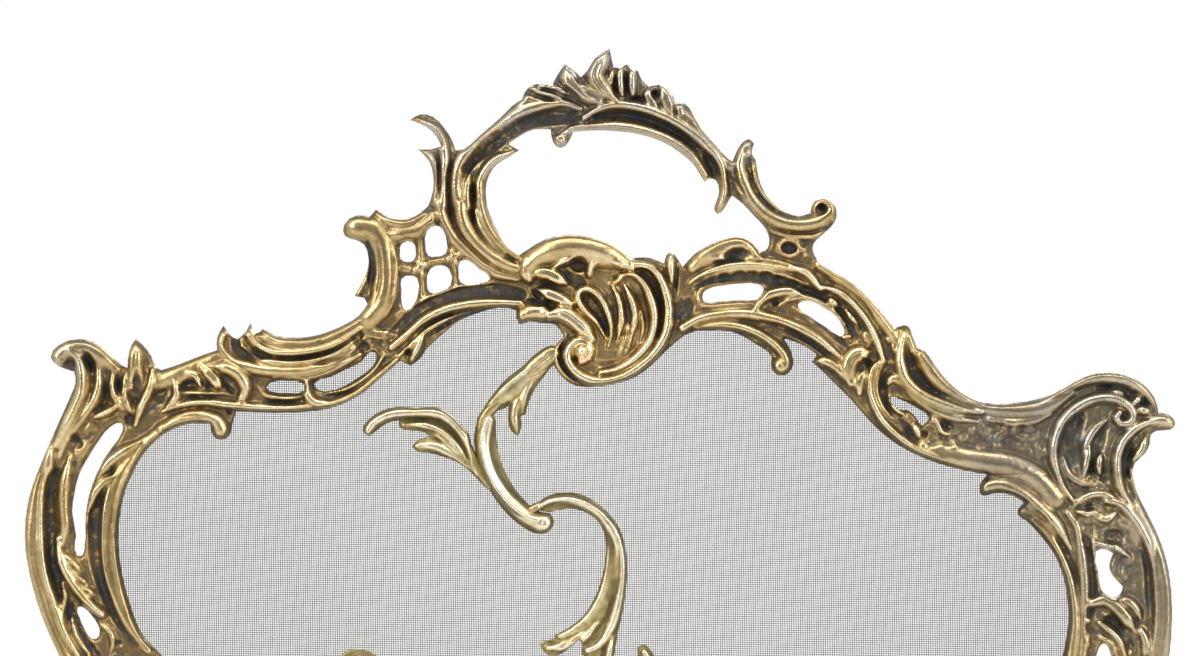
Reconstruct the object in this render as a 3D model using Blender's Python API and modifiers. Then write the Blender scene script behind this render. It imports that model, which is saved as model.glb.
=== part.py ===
"""Fireplace spark screen: pierced scroll castings round a woven wire panel, on two fixed and two folding feet.

Frame: X to the right, front towards -Y, Z up, floor at Z 0, wire panel close to Y 0.
Outline tables are front views (X, Z), or side views (Y, Z) for the feet, in millimetres.
"""
import math

import bmesh
import bpy
from mathutils import Matrix, Vector

MM = 0.001
WELD = 1e-6
QUARTER = math.pi / 2
SHARP = 1                     # marks a leaf tip, notch or joint corner in an outline

# Depths along Y, in mm. Castings, wire panel, retainers and screws stack from front to back.
CAST_FRONT, CAST_BACK = -9.0, -1.0
PANEL_FRONT, PANEL_BACK = -0.7, -0.1
RETAINER_FRONT, RETAINER_BACK = 0.2, 1.8
PLATE_FRONT, PLATE_BACK = -0.7, 0.9
ORNAMENT_FRONT, ORNAMENT_BACK = -7.0, -1.0
GAP = 0.3
STRIP_WIDTH = 10.0

# Screws: (shank radius, head radius, head height, shank tip Y, clearance hole radius).
SMALL_SCREW = (1.2, 2.5, 1.5, -5.5, 1.5)
FOOT_SCREW = (2.0, 3.6, 2.4, -5.5, 2.3)
TURNED_STEPS = 8
PIN_STEPS = 16

# Feet and folding hinges, for the left side; the right side is mirrored.
FOOT_X = -262.0
FRONT_LEG_WIDTH, REAR_LEG_WIDTH = 20.0, 12.0
TANG = ((-276.0, -0.7, 142.0), (-248.0, 5.3, 168.0))
HINGE_Y = 18.0
BRACKET_WIDTH, BRACKET_FRONT, BRACKET_WALL = 30.0, 5.6, 3.0
EAR_LOW, EAR_HIGH, EAR_THICK, EAR_BACK = 140.0, 178.0, 6.0, 25.0
PIN_RADIUS, PIN_CLEARANCE = 2.5, 0.07
PIN_HEAD_RADIUS, PIN_HEAD_HEIGHT = 4.2, 2.5
KNUCKLE_RADIUS = 7.0
FOOT_SCREW_SPREAD, FOOT_SCREW_Z = 9.0, 156.0

LEFT_STILE = [
    (-276.2, 567.5, SHARP), (-280, 570), (-283, 577), (-288, 583.5), (-292, 587, SHARP), (-295, 583),
    (-297, 575), (-297.5, 569, SHARP), (-301, 570.5), (-308, 577.5), (-318, 585), (-328, 587), (-340, 583.5),
    (-345.7, 576), (-342, 571), (-336, 568), (-331, 566.5, SHARP), (-330, 560), (-333, 552), (-340, 536),
    (-347, 520), (-352, 508), (-357, 495), (-360.5, 481), (-362, 463), (-360.3, 446), (-357, 431),
    (-351, 412), (-346, 400), (-340, 387), (-332, 368), (-325, 348), (-321, 325), (-321, 300), (-328, 275),
    (-336, 252), (-342, 232), (-342, 213), (-335.1, 196.2, SHARP), (-290.1, 215.2, SHARP), (-288, 230),
    (-284, 250), (-282, 275), (-284, 300), (-287, 325), (-285, 345), (-278, 358), (-270, 365),
    (-261, 367, SHARP), (-268, 377), (-276, 388), (-286, 398), (-290, 404, SHARP), (-293, 411), (-296, 420),
    (-299, 430), (-302, 445), (-303.5, 460), (-302.5, 475), (-299, 492), (-295, 501), (-290, 511),
    (-283, 520), (-275.3, 526.8, SHARP),
]
LEFT_STILE_HOLES = [
    [(-301, 534), (-308, 532), (-315, 524), (-322, 513), (-328, 502), (-331, 490), (-332.5, 478), (-330, 463),
     (-331, 455), (-327, 450), (-324.5, 455), (-324, 470), (-323, 482), (-320, 494), (-313, 510), (-307, 519),
     (-301, 528)],
    [(-329, 418), (-325, 418), (-320, 413), (-316, 407), (-315, 401), (-318, 398), (-322, 400), (-325, 405),
     (-328, 412)],
    [(-312, 345), (-306, 336), (-302, 318), (-302, 300), (-306, 288), (-310, 300), (-311, 318), (-313, 334)],
]

UPPER_LEFT_RAIL = [
    (-275.8, 567.6, SHARP), (-268, 570), (-260, 573), (-250, 577), (-241, 580, SHARP), (-241, 588),
    (-237, 595.5, SHARP), (-233, 590), (-228, 587), (-220, 597, SHARP), (-217, 590.5), (-212, 593.5, SHARP),
    (-203, 589), (-192, 588), (-180, 589), (-170, 592), (-160, 596.5), (-152, 601.5), (-146.7, 608.3, SHARP),
    (-125.8, 573.2, SHARP), (-133, 567), (-140, 561), (-148, 554), (-158, 548), (-168, 544), (-178, 542),
    (-190, 541), (-205, 540.5), (-229, 541.5, SHARP), (-231.5, 534), (-233, 527), (-238, 523.5), (-243.5, 526),
    (-245.5, 533.5, SHARP), (-255, 534), (-265, 532), (-274.7, 527.2, SHARP),
]
UPPER_LEFT_RAIL_HOLES = [
    [(-210, 556.5), (-204, 553.5), (-195, 553), (-186, 555), (-187, 559), (-196, 560.5), (-206, 560)],
    [(-180, 559), (-170, 563), (-160, 568), (-150, 573), (-146, 578), (-142, 579), (-141, 574), (-145, 568),
     (-152, 563), (-160, 558), (-170, 554.5), (-177, 555)],
]

TRELLIS_SCROLL = [
    (-146.2, 608.8, SHARP), (-148.5, 613, SHARP), (-154.5, 614, SHARP), (-149, 624), (-146, 632), (-146, 640),
    (-148.5, 646.5), (-154, 649.5), (-160.5, 652), (-161, 659), (-152.5, 665), (-145, 664, SHARP),
    (-141, 668.5, SHARP), (-135, 665), (-128, 663), (-120, 663), (-113, 666.5), (-108.2, 670.8, SHARP),
    (-71.2, 670.8, SHARP), (-68, 662), (-63, 653), (-57, 645), (-50.9, 640.5, SHARP), (-53.2, 605.2, SHARP),
    (-58, 606.5), (-68, 606), (-78, 603), (-88, 599), (-97, 592), (-105, 585), (-110, 580, SHARP),
    (-113, 575), (-119, 570.5, SHARP), (-124, 572.5), (-125.2, 574, SHARP),
]
TRELLIS_SCROLL_HOLES = [
    [(-125, 647), (-118, 648), (-116, 643), (-117, 637), (-121, 635.5), (-125.5, 637.5), (-126, 642)],
    [(-109, 655), (-103, 658.5), (-99, 656), (-96.5, 648), (-97, 641), (-103, 639), (-108, 639.5), (-110, 646)],
    [(-125, 625), (-119, 627), (-115, 625), (-114.5, 616), (-117, 609), (-122, 605), (-125, 610), (-125, 618)],
    [(-107, 631), (-100, 633.5), (-95, 631), (-94, 621), (-100, 617), (-107, 616.5), (-109, 622)],
    [(-88, 636), (-83, 636.5), (-76, 631), (-69, 625), (-74, 622.5), (-82, 621.5), (-88, 623), (-89, 629)],
]

HANDLE_LOOP = [
    (-107.9, 671.2, SHARP), (-105, 681), (-105, 690), (-107.5, 699), (-114.5, 706.5, SHARP), (-106, 706.5),
    (-100, 708.5, SHARP), (-102.5, 714), (-109, 720.5), (-119.5, 725, SHARP), (-113, 728.5), (-105, 727),
    (-98, 720), (-93.5, 713), (-91, 706, SHARP), (-85, 707), (-78, 713), (-70, 720), (-62, 727), (-55, 734),
    (-49, 738, SHARP), (-47, 743), (-43, 746.5), (-36, 748), (-30, 747, SHARP), (-27, 753), (-22, 760, SHARP),
    (-16, 756), (-12, 752, SHARP), (-8, 756), (-3, 764), (6, 770, SHARP), (8.5, 758, SHARP),
    (12, 758), (17, 760, SHARP), (20, 757), (24, 756, SHARP), (26.5, 750), (31, 746, SHARP), (37, 747),
    (42.5, 745), (48, 735.5, SHARP), (53, 735.5), (58, 730), (64, 720), (72, 711), (80, 702),
    (83.2, 699.2, SHARP), (83.2, 677.2, SHARP), (80.5, 673.5), (78, 669), (74, 666), (72, 669), (73.5, 674),
    (75, 680), (73, 687), (69, 688), (66, 686, SHARP), (63.5, 690), (59, 697), (51, 704), (40, 711), (25, 716),
    (10, 718), (-5, 718.5), (-17, 717.5, SHARP), (-20, 711), (-25, 707.5), (-29.5, 711), (-31, 719, SHARP),
    (-42, 719), (-52, 714), (-58, 710, SHARP), (-51, 706, SHARP), (-58, 701.5), (-65, 697), (-70, 690),
    (-72, 681), (-71.1, 671.2, SHARP),
]
HANDLE_LOOP_HOLES = [[(7, 756.2), (8.3, 754.6), (7, 753), (5.7, 754.6)]]

SHELL_CARTOUCHE = [
    (-50.3, 640.4, SHARP), (-46, 643), (-40, 647), (-28, 652), (-13, 653), (0, 650), (10, 646),
    (20, 638, SHARP), (30, 638.5), (36, 636.5), (40.5, 634.5, SHARP), (42, 640), (45, 641.5), (48.5, 638),
    (51.8, 632.6, SHARP), (51.8, 588.4, SHARP), (42, 580), (33, 571), (22, 563), (10, 559), (0, 557.3),
    (-12, 557), (-20, 560), (-27, 567), (-30, 575), (-28, 583), (-22.5, 588.5, SHARP), (-28, 596), (-36, 597),
    (-45, 598), (-51, 596.5), (-52.6, 604.8, SHARP),
]

UPPER_RIGHT_RAIL = [
    (52.2, 632.6, SHARP), (60, 641), (70, 647.2), (80, 651), (87, 651.8), (93.5, 650), (98, 645.5),
    (100.5, 641.8, SHARP), (104.5, 643), (106.4, 646.5), (106.3, 652), (103.3, 658), (96.7, 665),
    (90, 672.2), (83.8, 677, SHARP), (83.8, 699.8, SHARP), (86, 705), (89, 710), (94, 713), (97, 710, SHARP),
    (95.5, 704), (98, 700, SHARP), (99, 693), (101, 685), (105, 677.5), (110.5, 671.5), (117.8, 666.7),
    (125, 664.6), (132.6, 666.4, SHARP), (133.5, 671), (136.7, 675), (141.5, 676), (146.5, 673),
    (148.9, 667.8), (147.8, 661), (143.3, 655.6), (137.8, 650.8), (134.4, 647), (133.9, 642.8), (136.5, 637.5),
    (142.8, 632.5), (152.2, 627.2), (160, 622), (168.9, 613.3), (177.8, 603), (185, 593.9, SHARP),
    (189, 595.3), (194, 595.3), (196, 590.5), (199.4, 581.7, SHARP), (204.4, 579.4), (209, 573.3),
    (215.5, 564.4), (224.4, 556), (233.3, 550.5), (242.2, 547.4), (251, 546.2), (263.3, 547.2), (274.4, 549),
    (283.3, 552.2), (292.2, 557), (300, 561.5), (308, 565), (317, 566.4), (325.5, 566), (334.4, 563.3),
    (342.2, 558.3), (347.8, 552), (350.5, 546), (351.5, 540.6, SHARP), (356, 540.3), (360.8, 537), (362, 533),
    (359, 530), (351, 529.4), (346.7, 526.5), (346, 521), (342.5, 514.4), (337, 509.4), (335.1, 504, SHARP),
    (243.3, 501.8, SHARP), (229, 504.4), (212.2, 509), (197.8, 514.8), (186.7, 521), (177.8, 527.8),
    (168.9, 536.5), (158, 549), (150, 557), (142.2, 564.8), (137.8, 569), (133.6, 572.5, SHARP),
    (136.7, 577.2, SHARP), (130, 582), (122.2, 585.5), (115, 587.8, SHARP), (118.5, 583), (121, 577),
    (121.7, 571), (118.9, 566), (113.9, 563.9), (109, 566.8), (107.6, 571.5), (108, 576), (104.4, 580),
    (97.8, 584), (90, 588.8), (81, 592), (70, 592.4), (60, 592), (52.2, 588.8, SHARP),
]
UPPER_RIGHT_RAIL_HOLES = [
    [(64.4, 614), (67, 618), (77, 620.7), (89, 622), (100, 621.5), (103, 619), (101.3, 614.5), (97.5, 611.7),
     (88, 611.6), (74.4, 610.8), (66.5, 610.2)],
    [(124.4, 608), (127, 610.6), (133.3, 610.5), (142.2, 606), (149, 601), (152.5, 595.5), (154, 591),
     (151, 589.4), (142.2, 594.5), (131, 602)],
    [(182.8, 550.4), (189, 549), (195.5, 546), (202.2, 542), (207, 537.8), (205.5, 534.4), (202.5, 533),
     (199, 537.5), (194.5, 542), (187, 544)],
]

RIGHT_STILE = [
    (243.5, 501.2, SHARP), (240, 496.7), (238.9, 492.5), (240.7, 488.5), (245.5, 489.4), (253, 490),
    (261, 487.8), (267.2, 483.9, SHARP), (263.3, 479.6), (263.5, 476), (268.3, 472.8), (274.4, 466.7),
    (281, 458.8), (286.7, 450.5), (290.5, 441.5), (293.3, 431), (294.7, 420), (295, 408), (293.3, 396.7),
    (291, 384), (288.5, 367), (288, 348), (287, 325), (284, 300), (282, 275), (284, 250), (288, 230),
    (290.1, 215.2, SHARP), (335.1, 196.2, SHARP), (342, 213), (343, 232), (338, 252), (331, 272), (327, 292),
    (329, 313), (337, 332), (347, 350), (355, 370), (358.3, 388), (359.6, 402), (360, 417), (359, 433),
    (355.8, 450), (350, 466), (343, 480), (337, 493), (334.8, 503.3, SHARP),
]
RIGHT_STILE_HOLES = [
    [(312.2, 453.3), (318, 454.7), (323.3, 452, SHARP), (321, 445.5), (321.5, 440.5), (325, 435.5),
     (329.4, 431, SHARP), (328, 427), (324.4, 424.4), (319, 426), (315.5, 429.5), (313.5, 441)],
    [(314, 392.5), (317.2, 395.3), (320.5, 392), (322.5, 384), (322, 370), (317, 355), (310, 346, SHARP),
     (309, 358), (310, 374)],
]

BOTTOM_RAIL_HALF = [
    (-334.9, 195.5, SHARP), (-327, 179), (-312, 165), (-290, 154), (-268, 145), (-240, 137), (-200, 129),
    (-160, 121), (-120, 114), (-85, 110.5), (-60, 107), (-42, 98), (-22, 87, SHARP), (-10, 84),
]
BOTTOM_SIGHT_HALF = [
    (-289.9, 214.6, SHARP), (-281, 202), (-262, 187), (-235, 172), (-200, 161), (-160, 154), (-120, 152),
    (-80, 155), (-52, 163, SHARP), (-36, 172), (-15, 177),
]
BOTTOM_RAIL_HOLE = [(-222, 149), (-205, 150), (-180, 145), (-160, 138), (-150, 132), (-166, 132.5),
                    (-190, 138), (-210, 143)]

WIRE_PANEL = [
    (-294, 214), (-292, 232), (-288, 252), (-287, 275), (-290, 300), (-295, 322), (-296, 345), (-292, 360),
    (-288, 374), (-292, 392), (-297, 405), (-303, 420), (-307, 437), (-309.5, 460), (-308, 480), (-304, 500),
    (-297, 514), (-288, 526), (-276, 535), (-262, 541), (-240, 547), (-222, 556), (-212, 565), (-180, 566),
    (-162, 575), (-148, 584), (-136, 584), (-122, 584), (-112, 591), (-99, 600), (-85, 607), (-60, 609.5),
    (-40, 606), (-20, 596), (-8, 574), (5, 565), (20, 571), (36, 585), (52, 594), (78, 598), (95, 595),
    (112, 596), (130, 589), (144, 580), (155, 566), (166, 557), (183, 556), (204, 548), (214, 536),
    (226, 517), (245, 509), (264, 500), (278, 486), (288, 466), (296, 448), (300, 430), (301, 405),
    (298, 387), (294, 365), (293, 345), (292, 322), (289, 300), (287, 275), (289, 252), (292, 232),
    (294, 214), (283, 197), (263, 181), (236, 166), (200, 155.5), (160, 149), (120, 147), (82, 150),
    (50, 158), (20, 168), (-20, 168), (-50, 158), (-82, 150), (-120, 147), (-160, 149), (-200, 155.5),
    (-236, 166), (-263, 181), (-283, 197),
]

ORNAMENTS = {
    "ornament_frond": [
        (-33, 578.5, SHARP), (-42, 574.4), (-53, 566.7), (-62, 559), (-69, 550), (-73, 544.5, SHARP),
        (-66.7, 542.4), (-60, 543.3), (-57.2, 545.5, SHARP), (-58, 537), (-56, 529.5), (-51.7, 526, SHARP),
        (-49.6, 531), (-50, 538.3, SHARP), (-47, 539.6, SHARP), (-45.3, 546), (-41, 555.5), (-36, 562.5),
        (-31.5, 568.4, SHARP),
    ],
    "ornament_leaf": [
        (-145.5, 525.5, SHARP), (-149.4, 529), (-148.3, 533.3), (-143.3, 538.3), (-137.8, 541.7),
        (-127.8, 544.4), (-115.5, 544), (-104.4, 544.6), (-96.7, 541.7), (-89, 534.4), (-82.4, 527.8, SHARP),
        (-81, 520), (-79.2, 511), (-75.8, 501), (-71.8, 493, SHARP), (-76, 497.5), (-82.2, 504), (-91, 510),
        (-100, 513.3), (-108, 515.5), (-114.4, 516), (-118.3, 519.4, SHARP), (-114.5, 523.5),
        (-107.2, 525.5, SHARP), (-111, 528.6), (-119, 529.3), (-126, 531, SHARP), (-126.7, 536, SHARP),
        (-133.3, 534.4), (-140, 530),
    ],
    "ornament_s_stem": [
        (-74.2, 540), (-78.2, 532), (-79.4, 523), (-77.8, 513), (-74.4, 502), (-69, 491), (-62, 481),
        (-53.3, 472.2), (-44, 466), (-36.7, 464.2), (-31, 467), (-28.9, 472.5), (-31.5, 477.4, SHARP),
        (-41, 478.4, SHARP), (-45, 483), (-53.3, 492.2), (-60, 504.4), (-64.4, 517.8), (-65.6, 531),
        (-66, 538), (-70, 541),
    ],
    "ornament_c_stem": [
        (-41.6, 479.6, SHARP), (-38.3, 484.6), (-31, 489), (-22.2, 490.5), (-12, 489.3), (-1, 483.3),
        (8.5, 473.8), (13.3, 465.5), (16, 455.5), (17.4, 444.4), (16.7, 432.2), (14.4, 415.5), (11.5, 403.3),
        (9.4, 391), (6.5, 377), (2, 364, SHARP), (-8, 367, SHARP), (-4.5, 378), (-7, 386),
        (-12, 388.5, SHARP), (-11, 394), (-13.5, 398, SHARP), (-21, 391), (-30, 387.5), (-35.5, 390.5),
        (-38, 396, SHARP), (-28, 398.5, SHARP), (-28.9, 400.2, SHARP), (-20, 405), (-11, 412.2),
        (-4.4, 422), (0.5, 434.4), (3.3, 449), (3.3, 461.5), (0, 470.5), (-6.7, 476.7), (-15.5, 480),
        (-24, 479.8), (-31, 478.2, SHARP),
    ],
    "ornament_spray": [
        (-8, 366.4, SHARP), (-14, 351), (-30, 337), (-55, 327), (-85, 323.5), (-115, 328), (-137, 341),
        (-150, 358), (-151.5, 371), (-147, 378.5, SHARP), (-145, 372), (-138.5, 372), (-136, 380), (-141, 388),
        (-151, 391.5), (-161, 390), (-165.5, 379), (-164, 361), (-155, 342), (-135, 325), (-110, 314),
        (-80, 309), (-50, 312), (-26, 322), (-9, 335, SHARP), (-14, 319), (-26, 306, SHARP), (-10, 307),
        (1, 317), (6.5, 334, SHARP), (22, 339), (35, 352), (40, 368), (36.5, 384), (29, 394.6, SHARP),
        (24, 393.3), (25, 382), (21.5, 370), (13, 362.5), (2.2, 363.3, SHARP),
    ],
}
ORNAMENT_SCREWS = {
    "ornament_frond": (-50, 562), "ornament_leaf": (-95, 527), "ornament_s_stem": (-72, 514),
    "ornament_c_stem": (10, 440), "ornament_spray": (-4, 345),
}

# Retainer strips bridge the casting joints: name, centre line, and one screw in each casting.
RETAINERS = {
    "retainer_shoulder_left": ([(-293, 532), (-276, 542), (-254, 548)], (-289, 535.5), (-262, 546.7)),
    "retainer_trellis": ([(-157, 589), (-138, 589.5), (-116, 594)], (-152, 589), (-121, 593)),
    "retainer_shell_left": ([(-80, 610), (-53, 613), (-30, 613)], (-74, 611), (-36, 613)),
    "retainer_shell_right": ([(34, 598), (52, 600.5), (74, 601)], (40, 599), (68, 601)),
    "retainer_shoulder_right": ([(271, 514), (281, 501), (290, 485)], (274.5, 509.5), (287.5, 489.5)),
    "retainer_corner_left": ([(-301, 238), (-299, 212), (-284, 189)], (-301, 232), (-288.5, 195)),
    "retainer_corner_right": ([(301, 238), (299, 212), (284, 189)], (301, 232), (288.5, 195)),
}
RETAINED = {
    "retainer_shoulder_left": ("left_stile", "upper_left_rail"),
    "retainer_trellis": ("upper_left_rail", "trellis_scroll"),
    "retainer_shell_left": ("trellis_scroll", "shell_cartouche"),
    "retainer_shell_right": ("shell_cartouche", "upper_right_rail"),
    "retainer_shoulder_right": ("upper_right_rail", "right_stile"),
    "retainer_corner_left": ("left_stile", "bottom_rail"),
    "retainer_corner_right": ("right_stile", "bottom_rail"),
}
HANDLE_PLATES = {
    "handle_plate_left": ([(-88, 690), (-88, 671), (-88, 654)], (-88, 684), (-88, 660)),
    "handle_plate_right": ([(71, 702.5), (84, 690), (96, 676)], (75, 698.6), (93, 679.5)),
}
HANDLE_PLATE_JOINS = {
    "handle_plate_left": ("handle_loop", "trellis_scroll"),
    "handle_plate_right": ("handle_loop", "upper_right_rail"),
}

# Side views (Y, Z) of the legs.
FRONT_LEG = [
    (4.9, 164, SHARP), (4.9, 148), (5, 132), (1, 112), (-11, 84), (-32, 54), (-54, 34), (-70, 18),
    (-74, 7), (-73, 0, SHARP), (-105, 0, SHARP), (-105, 8, SHARP), (-97, 20), (-82, 34), (-62, 54), (-43, 82),
    (-27, 110), (-17, 130), (-9, 136, SHARP), (-0.4, 136, SHARP), (-0.4, 164, SHARP),
]
REAR_LEG = [
    (18, 167, SHARP), (36, 165), (54, 153), (68, 131), (79, 100), (86, 66), (90, 36), (97, 17), (105, 8, SHARP),
    (105, 0, SHARP), (75, 0, SHARP), (75, 7), (79, 20), (77, 44), (70, 76), (60, 106), (48, 130),
    (37, 149), (18, 152, SHARP),
]

# Raised scroll strands on the front faces: (radius at the middle, centre line in the front view).
STRANDS = {
    "left_stile": [
        (4.0, [(-336, 579), (-327, 574), (-325, 563), (-330, 546), (-338, 528), (-347, 506), (-354, 486),
               (-356, 464), (-354, 443), (-348, 422), (-340, 402), (-332, 382), (-324, 362), (-317, 340)]),
        (3.2, [(-279, 530), (-290, 520), (-300, 505), (-307, 485), (-309, 462), (-307, 440), (-302, 420),
               (-296, 404), (-286, 391)]),
        (3.0, [(-317, 322), (-316.5, 300), (-322, 276), (-331, 252), (-334, 230), (-326, 208)]),
    ],
    "upper_left_rail": [
        (3.5, [(-222, 590), (-213, 581.5), (-200, 576.5), (-182, 577), (-168, 581), (-156, 589), (-149, 598)]),
        (2.8, [(-262, 537), (-246, 539.5), (-230, 546), (-210, 546.5), (-190, 547), (-172, 549), (-160, 553),
               (-150, 559.5), (-140, 567.5)]),
    ],
    "trellis_scroll": [
        (4.0, [(-152, 657), (-143, 655), (-138.5, 647), (-136, 636), (-135, 625), (-138, 612), (-143, 604)]),
        (3.4, [(-127, 591), (-118, 597), (-106, 605.5), (-94, 610.5), (-80, 613), (-66, 614), (-56, 611)]),
    ],
    "handle_loop": [
        (4.0, [(-92, 680), (-92, 692), (-88, 702), (-80, 710), (-68, 719), (-54, 728), (-40, 735), (-24, 739)]),
        (4.0, [(-5, 738), (15, 737), (32, 733), (50, 724), (64, 713), (74, 702), (78.5, 689)]),
    ],
    "shell_cartouche": [
        (5.0, [(-43, 636), (-33, 643), (-20, 646), (-6, 644), (7, 638)]),
        (4.2, [(22, 633), (33, 629), (40, 615), (43, 602), (38, 588), (29, 577), (17, 568), (3, 563)]),
        (3.2, [(-14, 565), (-21, 573), (-19, 582), (-11, 585), (-6, 579), (-10, 573)]),
    ],
    "upper_right_rail": [
        (4.0, [(112, 637), (130, 632), (146, 622), (158, 610), (168, 597), (175, 584), (180, 570)]),
        (4.0, [(90, 707), (88, 696), (90, 684), (97, 672), (108, 663), (122, 658), (136, 658.5), (144, 665)]),
        (4.0, [(62, 600.5), (80, 602.5), (100, 601), (120, 596), (136, 588), (148, 577), (156, 565)]),
        (3.2, [(168, 546), (178, 535), (192, 525), (210, 516), (230, 511), (246, 509)]),
        (4.0, [(189, 586), (190, 572), (199, 559), (214, 549), (230, 542), (250, 540), (272, 542)]),
        (4.0, [(299, 509), (289, 519), (287, 531), (293, 542), (305, 549), (318, 551), (328, 546), (331, 538)]),
    ],
    "right_stile": [
        (4.0, [(336, 486), (345, 468), (352, 448), (355, 425), (354.5, 402), (351, 384), (344, 363), (334, 343)]),
        (3.2, [(249, 495.5), (266, 491), (280, 478), (292, 460), (300, 440), (303.5, 420), (304, 400),
               (301, 380), (297.5, 358), (297, 335), (295, 310)]),
        (3.0, [(322, 312), (320, 292), (324, 270), (331, 250), (334, 230), (326, 209)]),
    ],
    "bottom_rail": [
        (2.8, [(-292, 202), (-267, 178.5), (-238, 164.5), (-203, 155), (-162, 147.5), (-120, 145.5), (-82, 148.5),
               (-54, 156), (-30, 168), (0, 172), (30, 168), (54, 156), (82, 148.5), (120, 145.5), (162, 147.5),
               (203, 155), (238, 164.5), (267, 178.5), (292, 202)]),
        (3.5, [(-78, 118), (-50, 109), (-27, 98), (0, 92), (27, 98), (50, 109), (78, 118)]),
    ],
    "ornament_frond": [(2.8, [(-39, 569.5), (-50, 562), (-61, 552.5), (-68, 546)])],
    "ornament_leaf": [(2.4, [(-146, 530), (-137, 537.5), (-122, 540.5), (-106, 540.5), (-93, 532), (-83, 517)])],
    "ornament_s_stem": [(3.4, [(-71, 535), (-72.5, 520), (-68, 504), (-59, 490), (-49, 478.5), (-37, 472)])],
    "ornament_c_stem": [(3.0, [(-33, 483.5), (-18, 485.5), (-3, 479), (7, 465), (11, 447), (10.5, 430),
                               (7, 413), (3, 398), (0, 384)])],
    "ornament_spray": [(3.0, [(-3, 352), (-20, 334), (-50, 319.5), (-82, 316.5), (-114, 321.5), (-138, 334),
                              (-155, 354), (-158, 374), (-151, 385)]),
                       (2.6, [(8, 349), (24, 354), (32, 370), (31, 384)])],
}
STRAND_TAPER = 0.55
STRAND_ROUNDNESS = 1
STRAND_SINK = 0.7             # how far a strand's axis lies behind the front face

BRASS = (0.50, 0.36, 0.15, 1)
PALE_BRASS = (0.66, 0.55, 0.33, 1)
DARK_BRASS = (0.30, 0.22, 0.11, 1)
WIRE_GREY = (0.12, 0.11, 0.10, 1)


def new_collection(name):
    made = bpy.data.collections.new(name)
    bpy.context.scene.collection.children.link(made)
    return made


def clear_scene():
    for obj in list(bpy.data.objects):
        bpy.data.objects.remove(obj)


clear_scene()
SCREEN = new_collection("fireplace_screen")
CUTTERS = new_collection("cutters")
FRONT_VIEW = Matrix(((1, 0, 0, 0), (0, 0, -1, 0), (0, 1, 0, 0), (0, 0, 0, 1)))
SIDE_VIEW = Matrix(((0, 0, 1, 0), (1, 0, 0, 0), (0, 1, 0, 0), (0, 0, 0, 1)))


def paint(obj, colour, roughness):
    material = bpy.data.materials.new(obj.name)
    material.use_nodes = True
    shader = material.node_tree.nodes["Principled BSDF"]
    shader.inputs["Base Color"].default_value = colour
    shader.inputs["Metallic"].default_value = 1.0
    shader.inputs["Roughness"].default_value = roughness
    obj.data.materials.append(material)


def add_object(name, mesh, collection=None, location=(0, 0, 0)):
    obj = bpy.data.objects.new(name, mesh)
    obj.location = location
    (collection or SCREEN).objects.link(obj)
    return obj


def add_outline(curve, points, resolution):
    spline = curve.splines.new("BEZIER")
    spline.bezier_points.add(len(points) - 1)
    for knot, point in zip(spline.bezier_points, points):
        knot.co = (point[0] * MM, point[1] * MM, 0)
        handle = "VECTOR" if len(point) > 2 else "AUTO"
        knot.handle_left_type = handle
        knot.handle_right_type = handle
    spline.use_cyclic_u = True
    spline.resolution_u = resolution


def mesh_from_curve(curve, matrix):
    """The curve's solid as a welded mesh, turned and moved by the matrix."""
    carrier = bpy.data.objects.new("carrier", curve)
    bpy.context.scene.collection.objects.link(carrier)
    graph = bpy.context.evaluated_depsgraph_get()
    mesh = bpy.data.meshes.new_from_object(carrier.evaluated_get(graph))
    bpy.data.objects.remove(carrier)
    solid = bmesh.new()
    solid.from_mesh(mesh)
    bmesh.ops.remove_doubles(solid, verts=solid.verts, dist=WELD)
    bmesh.ops.transform(solid, matrix=matrix, verts=solid.verts)
    bmesh.ops.recalc_face_normals(solid, faces=solid.faces)
    solid.to_mesh(mesh)
    solid.free()
    mesh.materials.clear()
    return mesh


def sheet_mesh(outlines, low, high, view, resolution=2):
    """A flat solid of those outlines from low to high along the view's depth, in mm."""
    curve = bpy.data.curves.new("outline", "CURVE")
    curve.dimensions = "2D"
    curve.fill_mode = "BOTH"
    curve.extrude = (high - low) / 2 * MM
    for points in outlines:
        add_outline(curve, points, resolution)
    middle = (low + high) / 2 * MM
    depth = Vector((0, middle, 0)) if view is FRONT_VIEW else Vector((middle, 0, 0))
    return mesh_from_curve(curve, Matrix.Translation(depth) @ view)


def plate(name, outlines, depth, colour, roughness=0.35, resolution=2):
    obj = add_object(name, sheet_mesh(outlines, depth[0], depth[1], FRONT_VIEW, resolution))
    paint(obj, colour, roughness)
    return obj


def turned_mesh(profile, steps):
    """A solid of revolution about Z from (radius, height) points in mm that start and end on the axis."""
    solid = bmesh.new()
    knots = [solid.verts.new((r * MM, 0, h * MM)) for r, h in profile]
    edges = [solid.edges.new(pair) for pair in zip(knots, knots[1:])]
    bmesh.ops.spin(solid, geom=knots + edges, cent=(0, 0, 0), axis=(0, 0, 1), angle=4 * QUARTER, steps=steps)
    bmesh.ops.remove_doubles(solid, verts=solid.verts, dist=WELD)
    bmesh.ops.recalc_face_normals(solid, faces=solid.faces)
    mesh = bpy.data.meshes.new("turned")
    solid.to_mesh(mesh)
    solid.free()
    return mesh


def smooth_round(mesh):
    for face in mesh.polygons:
        face.use_smooth = True
    mesh.set_sharp_from_angle(angle=0.7)


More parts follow.
